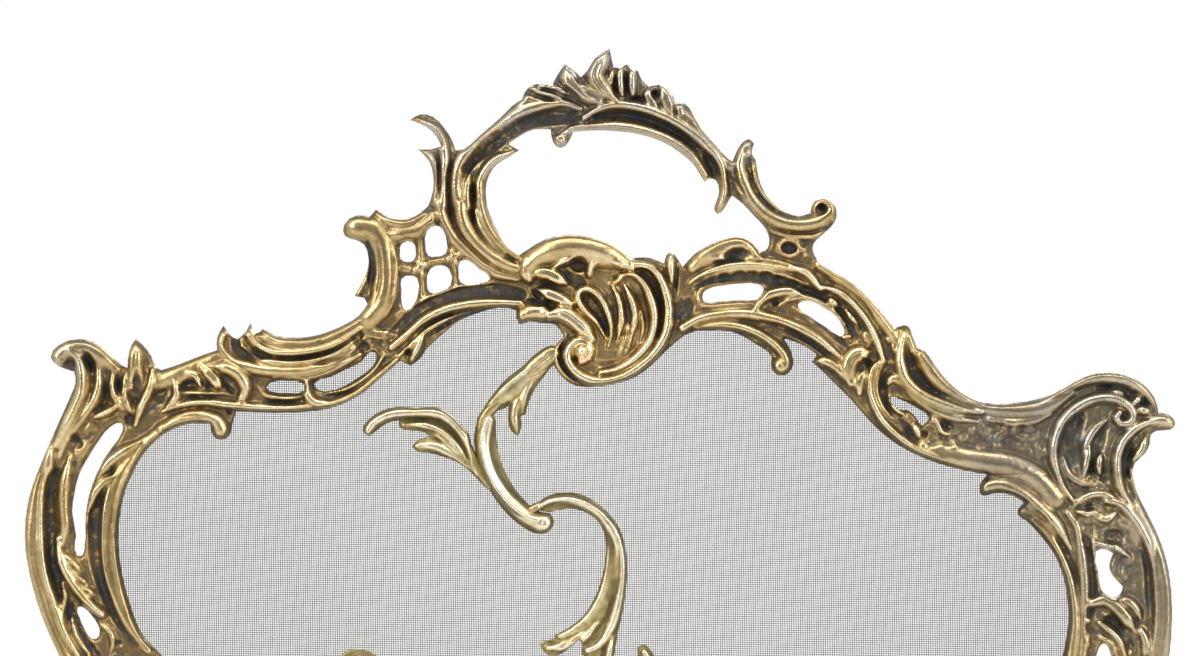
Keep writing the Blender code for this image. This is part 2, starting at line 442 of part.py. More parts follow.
def cylinder_into(solid, centre, radius, span, axis):
    """Adds a closed cylinder along Y or Z to a bmesh, in mm."""
    turn = Matrix.Rotation(-QUARTER, 4, "X") if axis == "Y" else Matrix.Identity(4)
    steps = TURNED_STEPS if axis == "Y" else PIN_STEPS
    middle = (span[0] + span[1]) / 2
    place = (centre[0], middle, centre[1]) if axis == "Y" else (centre[0], centre[1], middle)
    bmesh.ops.create_cone(
        solid, cap_ends=True, cap_tris=False, segments=steps, radius1=radius * MM, radius2=radius * MM,
        depth=(span[1] - span[0]) * MM, matrix=Matrix.Translation(Vector(place) * MM) @ turn)


def holes(name, cylinders):
    """One hidden cutter made of closed cylinders: (centre, radius, span, axis)."""
    solid = bmesh.new()
    for centre, radius, span, axis in cylinders:
        cylinder_into(solid, centre, radius, span, axis)
    mesh = bpy.data.meshes.new(name)
    solid.to_mesh(mesh)
    solid.free()
    cutter = add_object(name, mesh, CUTTERS)
    cutter.hide_render = True
    cutter.display_type = "WIRE"
    return cutter


def combine(obj, other, operation):
    modifier = obj.modifiers.new(other.name, "BOOLEAN")
    modifier.operation = operation
    modifier.solver = "EXACT"
    modifier.object = other


def as_cutter(name, mesh):
    tool = add_object(name, mesh, CUTTERS)
    tool.hide_render = True
    tool.display_type = "WIRE"
    return tool


def strand_mesh(points, radius, front):
    """A round rib along a centre line in the front view, thinner at its ends, half sunk in the front face."""
    curve = bpy.data.curves.new("strand", "CURVE")
    curve.dimensions = "3D"
    curve.bevel_depth = MM
    curve.bevel_resolution = STRAND_ROUNDNESS
    curve.use_fill_caps = True
    add_outline(curve, points, 1)
    spline = curve.splines[0]
    spline.use_cyclic_u = False
    for knot in spline.bezier_points:
        knot.radius = radius
    spline.bezier_points[0].radius = radius * STRAND_TAPER
    spline.bezier_points[-1].radius = radius * STRAND_TAPER
    return mesh_from_curve(curve, Matrix.Translation((0, (front + STRAND_SINK) * MM, 0)) @ FRONT_VIEW)


def add_strands(obj, front):
    for number, (radius, points) in enumerate(STRANDS[obj.name], 1):
        rib = as_cutter(f"{obj.name}_strand_{number}", strand_mesh(points, radius, front))
        combine(obj, rib, "UNION")


def screw(name, kind, spot, seat_y):
    """A pan head screw driven from the back, towards -Y, with its head's seat at seat_y."""
    shank, head, height, tip, _ = kind
    length = seat_y - tip
    profile = [(0, -length), (shank, -length), (shank, 0), (head, 0), (head, height * 0.6),
               (head * 0.6, height), (0, height)]
    mesh = turned_mesh(profile, TURNED_STEPS)
    smooth_round(mesh)
    spot_m = (spot[0] * MM, seat_y * MM, spot[1] * MM)
    mesh.transform(Matrix.Translation(spot_m) @ Matrix.Rotation(-QUARTER, 4, "X"))
    obj = add_object(name, mesh)
    paint(obj, DARK_BRASS, 0.4)
    return obj


def strip(name, line, depth, width):
    """A flat strip along a centre line, as an upright ribbon made solid to the strip's width."""
    curve = bpy.data.curves.new(name, "CURVE")
    curve.dimensions = "2D"
    curve.fill_mode = "NONE"
    curve.extrude = (depth[1] - depth[0]) / 2 * MM
    add_outline(curve, line, 3)
    curve.splines[0].use_cyclic_u = False
    middle = (depth[0] + depth[1]) / 2 * MM
    mesh = mesh_from_curve(curve, Matrix.Translation((0, middle, 0)) @ FRONT_VIEW)
    obj = add_object(name, mesh)
    paint(obj, DARK_BRASS, 0.45)
    solid = obj.modifiers.new("width", "SOLIDIFY")
    solid.thickness = width * MM
    solid.offset = 0.0
    solid.use_even_offset = True
    return obj


def build_castings():
    """The pierced castings of the frame, by name."""
    outlines = {
        "left_stile": [LEFT_STILE] + LEFT_STILE_HOLES,
        "upper_left_rail": [UPPER_LEFT_RAIL] + UPPER_LEFT_RAIL_HOLES,
        "trellis_scroll": [TRELLIS_SCROLL] + TRELLIS_SCROLL_HOLES,
        "handle_loop": [HANDLE_LOOP] + HANDLE_LOOP_HOLES,
        "shell_cartouche": [SHELL_CARTOUCHE],
        "upper_right_rail": [UPPER_RIGHT_RAIL] + UPPER_RIGHT_RAIL_HOLES,
        "right_stile": [RIGHT_STILE] + RIGHT_STILE_HOLES,
        "bottom_rail": bottom_rail_outlines(),
    }
    made = {name: plate(name, found, (CAST_FRONT, CAST_BACK), BRASS) for name, found in outlines.items()}
    for casting in made.values():
        add_strands(casting, CAST_FRONT)
    return made


def mirrored(points):
    return [(-p[0], *p[1:]) for p in reversed(points)]


def bottom_rail_outlines():
    lower = BOTTOM_RAIL_HALF + mirrored(BOTTOM_RAIL_HALF)
    upper = BOTTOM_SIGHT_HALF + mirrored(BOTTOM_SIGHT_HALF)
    return [lower + list(reversed(upper)), BOTTOM_RAIL_HOLE, mirrored(BOTTOM_RAIL_HOLE)]


def build_panel():
    panel = plate("wire_panel", [WIRE_PANEL], (PANEL_FRONT, PANEL_BACK), WIRE_GREY, 0.5, 1)
    spots = [(spot, SMALL_SCREW[4], (-3, 3), "Y") for spot in ORNAMENT_SCREWS.values()]
    combine(panel, holes("panel_holes", spots), "DIFFERENCE")


def build_ornaments():
    for name, outline in ORNAMENTS.items():
        casting = plate(name, [outline], (ORNAMENT_FRONT, ORNAMENT_BACK), PALE_BRASS)
        add_strands(casting, ORNAMENT_FRONT)
        spot = ORNAMENT_SCREWS[name]
        cutter = holes(name + "_hole", [(spot, SMALL_SCREW[4], (SMALL_SCREW[3] + 0.7, 3), "Y")])
        combine(casting, cutter, "DIFFERENCE")
        kind = SMALL_SCREW[:3] + (SMALL_SCREW[3] + 1.2,) + SMALL_SCREW[4:]
        screw(name + "_screw", kind, spot, PANEL_BACK + GAP)


def build_joints(castings, plates, joins, depth):
    """Strips with a screw in each casting; returns the blind holes that each casting needs."""
    blind = {}
    for name, (line, first, second) in plates.items():
        bar = strip(name, line, depth, STRIP_WIDTH)
        spots = [(spot, SMALL_SCREW[4], (-3, depth[1] + 1), "Y") for spot in (first, second)]
        combine(bar, holes(name + "_holes", spots), "DIFFERENCE")
        for number, (spot, casting) in enumerate(zip((first, second), joins[name]), 1):
            screw(f"{name}_screw_{number}", SMALL_SCREW, spot, depth[1] + GAP)
            blind.setdefault(casting, []).append((spot, SMALL_SCREW[4], (SMALL_SCREW[3] - 0.5, 3), "Y"))
    return blind


def foot_screw_spots(side):
    return [(side * (FOOT_X + spread), FOOT_SCREW_Z) for spread in (-FOOT_SCREW_SPREAD, FOOT_SCREW_SPREAD)]


def box_mesh(low, high):
    solid = bmesh.new()
    size = [(b - a) * MM for a, b in zip(low, high)]
    centre = [(a + b) / 2 * MM for a, b in zip(low, high)]
    bmesh.ops.create_cube(solid, size=1, matrix=Matrix.Translation(centre) @ Matrix.Diagonal((*size, 1)))
    mesh = bpy.data.meshes.new("box")
    solid.to_mesh(mesh)
    solid.free()
    return mesh


def build_front_foot(label, side):
    x = side * FOOT_X
    half = FRONT_LEG_WIDTH / 2
    mesh = sheet_mesh([FRONT_LEG], x - half, x + half, SIDE_VIEW)
    foot = add_object("front_foot_" + label, mesh)
    paint(foot, BRASS, 0.35)
    (x0, y0, z0), (x1, y1, z1) = TANG
    low, high = min(side * x0, side * x1), max(side * x0, side * x1)
    combine(foot, as_cutter("tang_" + label, box_mesh((low, y0, z0), (high, y1, z1))), "UNION")
    bores = [(spot, FOOT_SCREW[4], (-3, 9), "Y") for spot in foot_screw_spots(side)]
    combine(foot, holes("tang_holes_" + label, bores), "DIFFERENCE")


def build_bracket(label, side):
    x = side * FOOT_X
    half = BRACKET_WIDTH / 2
    front, wall, back = BRACKET_FRONT, BRACKET_FRONT + BRACKET_WALL, EAR_BACK
    channel = [
        (front, EAR_LOW, SHARP), (back, EAR_LOW, SHARP), (back, EAR_LOW + EAR_THICK, SHARP),
        (wall, EAR_LOW + EAR_THICK, SHARP), (wall, EAR_HIGH - EAR_THICK, SHARP),
        (back, EAR_HIGH - EAR_THICK, SHARP), (back, EAR_HIGH, SHARP), (front, EAR_HIGH, SHARP),
    ]
    bracket = add_object("hinge_bracket_" + label, sheet_mesh([channel], x - half, x + half, SIDE_VIEW, 1))
    paint(bracket, DARK_BRASS, 0.4)
    cuts = [(spot, FOOT_SCREW[4], (0, 12), "Y") for spot in foot_screw_spots(side)]
    cuts.append(((x, HINGE_Y), PIN_RADIUS + PIN_CLEARANCE, (EAR_LOW - 5, EAR_HIGH + 5), "Z"))
    combine(bracket, holes("bracket_holes_" + label, cuts), "DIFFERENCE")


def build_pin(label, side):
    length = EAR_HIGH - EAR_LOW + GAP
    profile = [(0, -length), (PIN_RADIUS - 0.5, -length), (PIN_RADIUS, 0.5 - length), (PIN_RADIUS, 0),
               (PIN_HEAD_RADIUS, 0), (PIN_HEAD_RADIUS, PIN_HEAD_HEIGHT * 0.5),
               (PIN_HEAD_RADIUS * 0.6, PIN_HEAD_HEIGHT), (0, PIN_HEAD_HEIGHT)]
    mesh = turned_mesh(profile, PIN_STEPS)
    smooth_round(mesh)
    mesh.transform(Matrix.Translation(Vector((side * FOOT_X, HINGE_Y, EAR_HIGH + GAP)) * MM))
    paint(add_object("hinge_pin_" + label, mesh), DARK_BRASS, 0.3)


def build_rear_foot(label, side):
    """The folding foot, with its origin on the hinge axis."""
    x = side * FOOT_X
    half = REAR_LEG_WIDTH / 2
    axis = Vector((x, HINGE_Y, (EAR_LOW + EAR_HIGH) / 2)) * MM
    mesh = sheet_mesh([REAR_LEG], x - half, x + half, SIDE_VIEW)
    mesh.transform(Matrix.Translation(-axis))
    foot = add_object("rear_foot_" + label, mesh, location=axis)
    paint(foot, BRASS, 0.35)
    low, high = EAR_LOW + EAR_THICK + GAP, EAR_HIGH - EAR_THICK - GAP
    combine(foot, holes("knuckle_" + label, [((x, HINGE_Y), KNUCKLE_RADIUS, (low, high), "Z")]), "UNION")
    bore = [((x, HINGE_Y), PIN_RADIUS + PIN_CLEARANCE, (low - 5, high + 5), "Z")]
    combine(foot, holes("knuckle_bore_" + label, bore), "DIFFERENCE")


def build_feet(blind):
    for label, side in (("left", 1), ("right", -1)):
        build_front_foot(label, side)
        build_bracket(label, side)
        build_pin(label, side)
        build_rear_foot(label, side)
        for number, spot in enumerate(foot_screw_spots(side), 1):
            screw(f"foot_screw_{label}_{number}", FOOT_SCREW, spot, BRACKET_FRONT + BRACKET_WALL + GAP)
            blind.setdefault("bottom_rail", []).append((spot, FOOT_SCREW[4], (FOOT_SCREW[3] - 0.5, 3), "Y"))


def build():
    castings = build_castings()
    build_panel()
    build_ornaments()
    blind = build_joints(castings, RETAINERS, RETAINED, (RETAINER_FRONT, RETAINER_BACK))
    upper = build_joints(castings, HANDLE_PLATES, HANDLE_PLATE_JOINS, (PLATE_FRONT, PLATE_BACK))
    for casting, spots in upper.items():
        blind.setdefault(casting, []).extend(spots)
    build_feet(blind)
    for casting, spots in blind.items():
        combine(castings[casting], holes(casting + "_holes", spots), "DIFFERENCE")


build()
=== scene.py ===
import math

import bmesh
import bpy
import numpy as np
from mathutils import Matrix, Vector


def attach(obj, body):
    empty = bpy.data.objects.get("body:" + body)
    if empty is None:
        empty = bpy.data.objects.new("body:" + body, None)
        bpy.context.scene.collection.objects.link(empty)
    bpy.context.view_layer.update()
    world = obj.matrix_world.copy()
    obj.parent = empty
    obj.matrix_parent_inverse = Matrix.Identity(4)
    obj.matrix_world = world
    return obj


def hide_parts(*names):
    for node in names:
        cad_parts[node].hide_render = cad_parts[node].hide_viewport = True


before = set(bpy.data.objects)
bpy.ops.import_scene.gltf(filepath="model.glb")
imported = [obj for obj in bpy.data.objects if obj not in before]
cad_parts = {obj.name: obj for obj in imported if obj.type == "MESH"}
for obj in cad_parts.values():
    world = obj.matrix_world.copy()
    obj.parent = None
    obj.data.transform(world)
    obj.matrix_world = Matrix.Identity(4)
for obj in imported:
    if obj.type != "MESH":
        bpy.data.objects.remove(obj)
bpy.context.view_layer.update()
MM = 0.001
BACK_Y = -1.0  # rear face of the castings, mm
FOOT_X = 262  # feet from the middle, mm

# ---------------------------------------------------------------- camera and light


def add_camera():
    data = bpy.data.cameras.new("camera")
    data.lens, data.sensor_width = 119.0, 36.0
    data.clip_start, data.clip_end = 0.05, 60
    camera = bpy.data.objects.new("camera", data)
    camera.location = (0, -2.5, 0.594)
    camera.rotation_euler = (math.pi / 2, 0, 0)
    bpy.context.scene.collection.objects.link(camera)
    bpy.context.scene.camera = camera


def add_softbox(name, place, aim, size, power, colour=(1, 1, 1)):
    data = bpy.data.lights.new(name, "AREA")
    data.shape, data.size, data.size_y = "RECTANGLE", size[0], size[1]
    data.energy, data.color = power, colour
    light = bpy.data.objects.new(name, data)
    light.location = place
    light.rotation_euler = (Vector(aim) - Vector(place)).to_track_quat("-Z", "Y").to_euler()
    light.visible_camera = False
    bpy.context.scene.collection.objects.link(light)


def add_world():
    """White where the camera sees it, and a soft studio gradient for everything else."""
    world = bpy.data.worlds.new("studio")
    bpy.context.scene.world = world
    world.use_nodes = True
    tree = world.node_tree
    tree.nodes.clear()

    def add(kind):
        return tree.nodes.new("ShaderNode" + kind)

    def span(source, low, high, new_low, new_high):
        node = add("MapRange")
        tree.links.new(source, node.inputs["Value"])
        for socket, number in zip(node.inputs[1:5], (low, high, new_low, new_high)):
            socket.default_value = number
        return node.outputs[0]

    def maths(operation, *sources):
        node = add("Math")
        node.operation = operation
        for socket, source in zip(node.inputs, sources):
            tree.links.new(source, socket)
        return node.outputs[0]

    split = add("SeparateXYZ")
    tree.links.new(add("TexCoord").outputs["Generated"], split.inputs[0])
    up = span(split.outputs["Z"], -0.5, 0.9, 0.12, 1.1)
    wing = span(maths("ABSOLUTE", split.outputs["X"]), 0.25, 0.95, 0.45, 1.6)
    soft, plain, pick = add("Background"), add("Background"), add("MixShader")
    soft.inputs["Color"].default_value = (1.0, 0.985, 0.96, 1)
    tree.links.new(maths("MULTIPLY", up, wing), soft.inputs["Strength"])
    plain.inputs["Color"].default_value = (1, 1, 1, 1)
    sources = (add("LightPath").outputs["Is Camera Ray"], soft.outputs[0], plain.outputs[0])
    for socket, source in zip(pick.inputs, sources):
        tree.links.new(source, socket)
    tree.links.new(pick.outputs[0], add("OutputWorld").inputs["Surface"])


add_camera()
add_world()
add_softbox("key_left", (-1.5, -1.7, 1.5), (0, 0, 0.5), (0.9, 1.3), 28)
add_softbox("fill_right", (1.7, -1.3, 1.1), (0, 0, 0.5), (0.8, 1.2), 16)
add_softbox("top", (0, -0.7, 2.1), (0, 0, 0.5), (1.6, 0.5), 14)
add_softbox("rear", (0.4, 2.2, 1.6), (0, 0, 0.4), (1.6, 1.0), 22)
bpy.context.scene.view_settings.view_transform = "Standard"

# ---------------------------------------------------------------- relief strokes
# Front views in mm. A stroke is (kind, half width, base height, gain, end tapers, centre line).


def roll(width, line, z=6.0, k=0.9, a=0.6, b=0.6):
    return "roll", width, z, k, (a, b), line


def leaf(width, line, z=7.0, k=0.9, a=0.7, b=0.15):
    return "leaf", width, z, k, (a, b), line


def bead(width, line, h=1.4, a=0.5, b=0.5):
    return "bead", width, 0, h, (a, b), line


def groove(width, line, h=2.5, a=0.4, b=0.4):
    return "groove", width, 0, h, (a, b), line


def rock(width, line, h=1.6, a=0.8, b=0.8):
    return "rock", width, 0, h, (a, b), line


def ball(x, z, radius, base=6.0, k=0.9):
    return "roll", radius, base, k, (1, 1), [(x, z), (x + 0.01, z)]


def pit(x, z, radius, h=2.5):
    return "groove", radius, 0, h, (1, 1), [(x, z), (x + 0.01, z)]


RELIEF = {
    "left_stile": [
        roll(6.5, [(-341, 576), (-333, 581.5), (-323, 581), (-313, 576), (-304, 568)], 4.5, 0.85, 0.9, 0.5),
        roll(4.5, [(-334, 580), (-328, 575), (-325.5, 566), (-326, 553), (-331, 541), (-337, 529), (-342, 520)], 8,
            1.0, 0.6, 0.5),
        ball(-340, 575, 5, 6), pit(-338, 574, 1.8, 2),
        groove(2.6, [(-325, 580), (-321, 574), (-319.5, 567)], 4, 0.2, 0.6),
        roll(3.4, [(-316, 573), (-315, 560), (-318, 549), (-326, 537), (-335, 525), (-340, 513)], 6, 0.9),
        roll(2.6, [(-306, 567), (-306, 553), (-300, 543)], 6, 1.0),
        roll(2.4, [(-298, 566), (-299, 552), (-295, 541)], 6),
        roll(3.2, [(-281, 568), (-283, 556), (-288, 545), (-292, 533)], 6.5, 1.0),
        leaf(5, [(-291, 552), (-292, 567), (-292, 586)], 6, 0.9, 0.6, 0.1),
        groove(3.6, [(-291, 567), (-291, 556), (-293, 546)], 5), groove(2.6, [(-303, 563), (-302.5, 553)], 4),
        groove(3.4, [(-277, 563), (-276, 554), (-280, 545)], 4),
        groove(2.4, [(-311, 560), (-311, 548), (-318, 540)], 3), groove(3, [(-296, 540), (-297, 533)], 4),
        roll(2.6, [(-318, 538), (-310, 541), (-303, 545)], 7, 1.0),
        rock(6, [(-318, 534), (-325, 522), (-330, 508), (-335, 492)], 1.4, 0.7, 0.6),
        rock(5, [(-303, 548), (-293, 556)], 1.3), rock(5, [(-279, 560), (-276, 548), (-286, 536)], 1.0),
        rock(7, [(-345, 440), (-337, 420), (-328, 402)], 1.0), groove(3, [(-331, 527), (-327, 519)], 3),
        roll(5.2, [(-274, 530), (-285, 521), (-294, 510), (-302, 496), (-307, 480), (-308, 462), (-306.5, 440),
            (-301.5, 420), (-294, 405), (-284, 392)], 5.5, 0.55, 0.9, 0.6),
        groove(2.4, [(-286, 521), (-297, 507), (-305, 488), (-308, 462), (-306.5, 440), (-301, 420), (-292, 403)],
            1.3),
        bead(1.3, [(-286, 526), (-296, 517), (-303, 507), (-309.5, 492), (-312.3, 475), (-312.6, 455), (-311, 437),
            (-306, 419), (-299, 404), (-289, 392), (-278, 388.5)], 2.4),
        bead(1.0, [(-277, 527), (-288, 517), (-296, 503), (-301, 490), (-304, 475), (-304.8, 460), (-303, 443),
            (-299.5, 428), (-295, 415)], 1.4),
        groove(3.8, [(-306, 507), (-313, 495), (-317.5, 478), (-318, 460), (-317, 446), (-313, 432), (-307, 417),
            (-300, 404), (-292, 394)], 4.5),
        bead(1.4, [(-323.3, 450), (-323.4, 470), (-321.5, 487), (-316.5, 500), (-309, 511), (-300, 519)], 3),
        leaf(3.6, [(-318, 497), (-311, 507), (-302, 514.5), (-289, 522.5)], 7, 0.9, 0.3, 0.5),
        leaf(3.0, [(-322, 477), (-319, 488), (-312, 497), (-304, 501.5)], 6.5, 0.9, 0.3, 0.4),
        roll(6.0, [(-350, 510), (-355, 493), (-357, 463), (-355.5, 440), (-349, 416), (-341, 396), (-332, 376),
            (-324, 355), (-319, 332)], 4, 0.85, 0.5, 0.6),
        roll(2.8, [(-347.5, 505), (-350.5, 490), (-351, 465), (-349, 442), (-343, 421), (-336, 402), (-327, 386),
            (-318, 366)], 7.5, 0.9, 0.5, 0.5),
        bead(0.9, [(-356, 470), (-355.5, 452), (-352, 432)], -0.8),
        groove(4.2, [(-342, 505), (-345.5, 490), (-345.8, 466), (-344, 446), (-339.5, 430), (-333, 414),
            (-325, 400), (-316, 388)], 4.5, 0.5, 0.5),
        roll(3.8, [(-333, 513), (-336, 500), (-337, 486), (-336, 470), (-338.5, 458)], 5.5, 0.9, 0.5, 0.7),
        leaf(3.8, [(-346, 521), (-346.5, 511), (-348, 500)], 7, 0.9, 0.5, 0.3),
        roll(3.6, [(-341, 462), (-338.5, 449), (-333, 437), (-326, 427), (-319, 419.5), (-312.5, 414)], 8, 0.9, 0.4,
            0.7),
        leaf(2.6, [(-337, 452), (-331.5, 446), (-325, 438)], 7.5),
        leaf(2.6, [(-334, 443), (-327, 436), (-321, 432)], 7.5),
        leaf(2.8, [(-330, 434), (-323, 429), (-316.5, 426)], 7.5),
        groove(1.4, [(-334, 447), (-327, 440), (-322, 436)], 2.5), groove(1.4, [(-329, 436), (-322, 431.5)], 2.5),
        roll(2.0, [(-338, 434), (-336, 425), (-338, 415), (-335, 405)], 6, 1.0),
        roll(2.0, [(-332, 412), (-330, 403), (-327, 397), (-321, 389)], 6, 1.0),
        roll(2.0, [(-314, 408), (-308, 403), (-306, 396), (-308, 390)], 6, 1.0), pit(-303, 396, 2.2, 2.5),
        roll(4.0, [(-275, 370), (-285, 358), (-291, 342), (-292, 322), (-289, 300), (-287, 275), (-289, 251),
            (-293, 230), (-302, 212)], 6, 0.8, 0.4, 0.9),
        roll(3.8, [(-316, 322), (-316, 300), (-322, 276), (-331, 252), (-334, 230), (-326, 206)], 6, 0.9, 0.3, 0.9),
        groove(3, [(-300, 268), (-302, 250), (-306, 232), (-312, 215)], 3.5),
        leaf(4.6, [(-297, 286), (-303, 266), (-313, 248), (-318, 228), (-314, 210)], 6.5, 0.8, 0.3, 0.5),
        leaf(4.2, [(-298, 362), (-308, 366), (-317, 377), (-322, 390)], 7, 0.9, 0.4, 0.2),
        leaf(3.8, [(-296, 374), (-302, 382), (-309, 388)], 7),
        leaf(3.8, [(-322, 345), (-312, 352), (-300, 356)], 7), groove(2.4, [(-303, 372), (-311, 380)], 3),
        groove(2.6, [(-296, 340), (-297, 325), (-296, 305)], 2.5),
    ],
    "upper_left_rail": [
        roll(6.5, [(-278, 560), (-262, 566), (-250, 570.5), (-240, 574), (-228, 572)], 4.5, 0.5, 0.8, 0.5),
        roll(5.5, [(-216, 589), (-200, 583.5), (-183, 583.5), (-167, 588), (-152, 597)], 5, 0.8, 0.4, 0.8),
        roll(2.8, [(-222, 590), (-212, 581.5), (-200, 578.5), (-182, 579.5), (-166, 584), (-150, 594)], 8.5, 0.9),
        roll(2.6, [(-226, 583), (-215, 575), (-200, 572), (-182, 573), (-166, 578), (-153, 587)], 7.5, 0.9, 0.3,
            0.5),
        groove(1.4, [(-206, 575.4), (-190, 575), (-172, 578.5), (-158, 586)], 2.4),
        roll(4.0, [(-236.5, 590), (-238.5, 582), (-232, 573.5), (-220, 569), (-205, 567), (-188, 567), (-172, 571),
            (-158, 579), (-148, 588)], 6, 0.9, 0.6, 0.4),
        groove(3.4, [(-230, 589), (-228, 581), (-219, 577), (-206, 575.6)], 4.5, 0.7, 0.2),
        roll(3.2, [(-220, 595), (-219.5, 588), (-214, 582)], 6.5, 0.9, 0.2, 0.5),
        roll(2.4, [(-212, 592), (-206, 587), (-196, 584.5)], 6.5, 0.8, 0.3, 0.3),
        groove(2.4, [(-180, 571), (-166, 574), (-156, 580.5)], 2.2), groove(1.8, [(-150, 585), (-145, 580)], 3),
        roll(2.2, [(-205, 562.5), (-190, 562.5), (-176, 564.5), (-163, 570.5), (-150, 578)], 6, 0.9),
        roll(2.8, [(-275, 541.5), (-264, 545.5), (-250, 547.5), (-235, 546), (-220, 544.5), (-203, 544.2),
            (-182, 544.5)], 6.5, 0.9, 0.5, 0.8),
        bead(1.3, [(-264, 553.5), (-250, 553), (-238, 553), (-229, 551.5)], 2.6),
        roll(3.0, [(-268, 563), (-266, 552), (-272, 544)], 6, 1.0),
        groove(3.4, [(-264, 555), (-258, 559), (-252, 557)], 3.5),
        groove(2.8, [(-248, 556), (-243, 560), (-239, 558)], 3), groove(1.8, [(-262, 550.4), (-240, 550.2)], 2.5),
        roll(2.6, [(-262, 566), (-254, 564), (-251, 557)], 7, 0.9, 0.3, 0.3),
        leaf(4, [(-250, 569), (-243, 563), (-238, 556)], 7.5, 0.9, 0.7, 0.2),
        roll(4.6, [(-246, 570), (-236, 569.5), (-227, 565), (-222.5, 557), (-225, 550)], 8, 0.9, 0.3, 0.7),
        groove(1.8, [(-237, 560), (-233, 556), (-230, 552)], 2.5),
        roll(4.4, [(-276, 530.5), (-263, 536.5), (-251, 538.5), (-241, 535), (-238, 529.5)], 6.5, 0.75, 0.8, 1.2),
        groove(1.0, [(-266, 537.5), (-254, 539), (-246, 537)], 1.2), groove(2.0, [(-236, 543), (-231, 540)], 3),
        roll(1.6, [(-215, 557), (-210, 551.5), (-197, 549.8), (-187, 551)], 5.5, 0.9),
        groove(2.0, [(-212, 547.2), (-198, 546.8), (-187, 547.3)], 3),
        roll(3.6, [(-184.5, 560), (-184, 553), (-179, 547), (-168, 547)], 7.5, 0.9, 0.6, 0.4),
        roll(3.4, [(-180, 544.5), (-168, 546), (-156, 550.5), (-145, 558), (-135, 566.5), (-128, 573)], 6, 0.9, 0.7,
            0.7),
        groove(1.2, [(-174, 551), (-162, 553), (-151, 558.5), (-142, 566), (-134, 575)], 2.4),
        roll(1.8, [(-172, 553.5), (-160, 556), (-150, 561), (-141, 569), (-136, 577)], 6, 0.9),
        leaf(3.6, [(-147, 592), (-139, 589.5), (-130, 590)], 6, 0.6, 0.8, 0.5),
        rock(6, [(-148, 588), (-140, 586), (-132, 579)], 1.1),
        groove(3.0, [(-156, 588), (-151, 584), (-147, 577)], 3),
    ],
    "trellis_scroll": [
        roll(7.5, [(-153, 657), (-143, 655.5), (-137.5, 648), (-135.5, 637), (-135, 622), (-138, 609), (-145, 600)],
            4.5, 0.8, 1.0, 0.9),
        groove(1.3, [(-140, 650), (-138.5, 636), (-138.5, 622), (-142, 609)], 1.8),
        groove(1.0, [(-132, 648), (-130, 636), (-130, 620), (-134, 606)], 1.6),
        bead(1.4, [(-129, 650), (-127.5, 640), (-127.3, 625), (-130, 609), (-137, 596)], 1.6),
        roll(4.2, [(-141, 666), (-132, 661), (-122, 659.5), (-111, 665)], 5, 0.8, 0.4, 0.6),
        roll(5.4, [(-136, 652), (-122, 653.5), (-112, 657), (-104, 664)], 6.8, 0.45, 0.6, 0.8),
        roll(2.8, [(-146.5, 642), (-147.5, 632), (-150, 623), (-153, 616)], 5, 1.0, 0.4, 0.8),
        groove(3.4, [(-146, 648), (-143.5, 634), (-144.5, 620)], 4.5, 0.5, 0.3),
        roll(3.1, [(-113, 650), (-113, 640), (-112.5, 625), (-111.5, 611)], 3.2, 0.9, 0.9, 0.9),
        roll(2.8, [(-95, 645), (-92, 634), (-91, 619)], 3.2, 0.9, 0.9, 0.9),
        roll(3.0, [(-128, 632), (-118, 631), (-108, 634), (-97, 638), (-88, 643)], 3.2, 0.9, 0.9, 0.9),
        ball(-113, 632, 2.6, 7), ball(-116.5, 630.5, 2.6, 6), ball(-110, 634, 2.6, 6), ball(-114.5, 635.5, 2.6, 6),
        ball(-111.5, 628, 2.6, 6), pit(-113, 632, 1.2, 2.4), ball(-92, 639, 2.4, 7), ball(-95.5, 637.5, 2.5, 6),
        ball(-88.5, 640.5, 2.5, 6), ball(-93.5, 642.5, 2.5, 6), ball(-90.5, 635.5, 2.5, 6), pit(-92, 639, 1.2, 2.4),
        groove(5.4, [(-134, 588.5), (-124, 596.5), (-112, 605), (-97, 612.5), (-80, 616.5), (-64, 617.5),
            (-50, 615)], 4.5, 0.4, 0.8),
        bead(1.4, [(-128, 602), (-117, 609), (-107, 613.5), (-94, 618.5), (-80, 621.5), (-66, 622.5)], 2.2),
        roll(3.4, [(-131, 582), (-120, 591), (-109, 600), (-96, 606), (-82, 609), (-66, 610), (-50, 609.5)], 6, 0.9,
            0.8, 0.8),
        roll(2.2, [(-127, 576), (-119, 583), (-112, 590), (-103, 596), (-90, 602)], 5.5, 0.9),
        groove(1.6, [(-121, 588), (-110, 595.5), (-98, 601.5), (-80, 605.5)], 2.4),
        groove(1.6, [(-108, 588.5), (-98, 595.5), (-88, 600.5), (-70, 605)], 3),
        roll(2.8, [(-111, 590), (-115, 581), (-118.5, 574)], 6.5, 0.9), pit(-121, 579, 2.6, 3.5),
        roll(4.6, [(-75, 672), (-72, 660), (-65, 649.5), (-55, 641), (-49, 637)], 5.5, 0.85, 0.9, 0.8),
        groove(1.5, [(-81, 672), (-79, 660), (-72, 649.5), (-62, 641), (-52, 635.5)], 4, 0.9, 0.6),
        roll(1.3, [(-78.5, 668), (-76, 658), (-69, 647.5), (-60, 640)], 9, 0.8),
        roll(5.2, [(-87.5, 672), (-86, 661), (-80, 650), (-70, 640), (-58, 633), (-49, 631)], 6.5, 0.85, 0.9, 0.7),
        groove(1.5, [(-94, 672), (-92.5, 660), (-87, 650), (-78, 641), (-68, 633), (-57, 628)], 3, 0.9, 0.4),
        roll(4.2, [(-101, 672), (-98, 661), (-92.5, 651), (-85, 643), (-75, 634), (-64, 628), (-52, 625)], 5.5,
            0.85, 0.9, 0.6),
        groove(1.3, [(-105, 668), (-101, 658), (-96, 650)], 2.5),
    ],
    "handle_loop": [
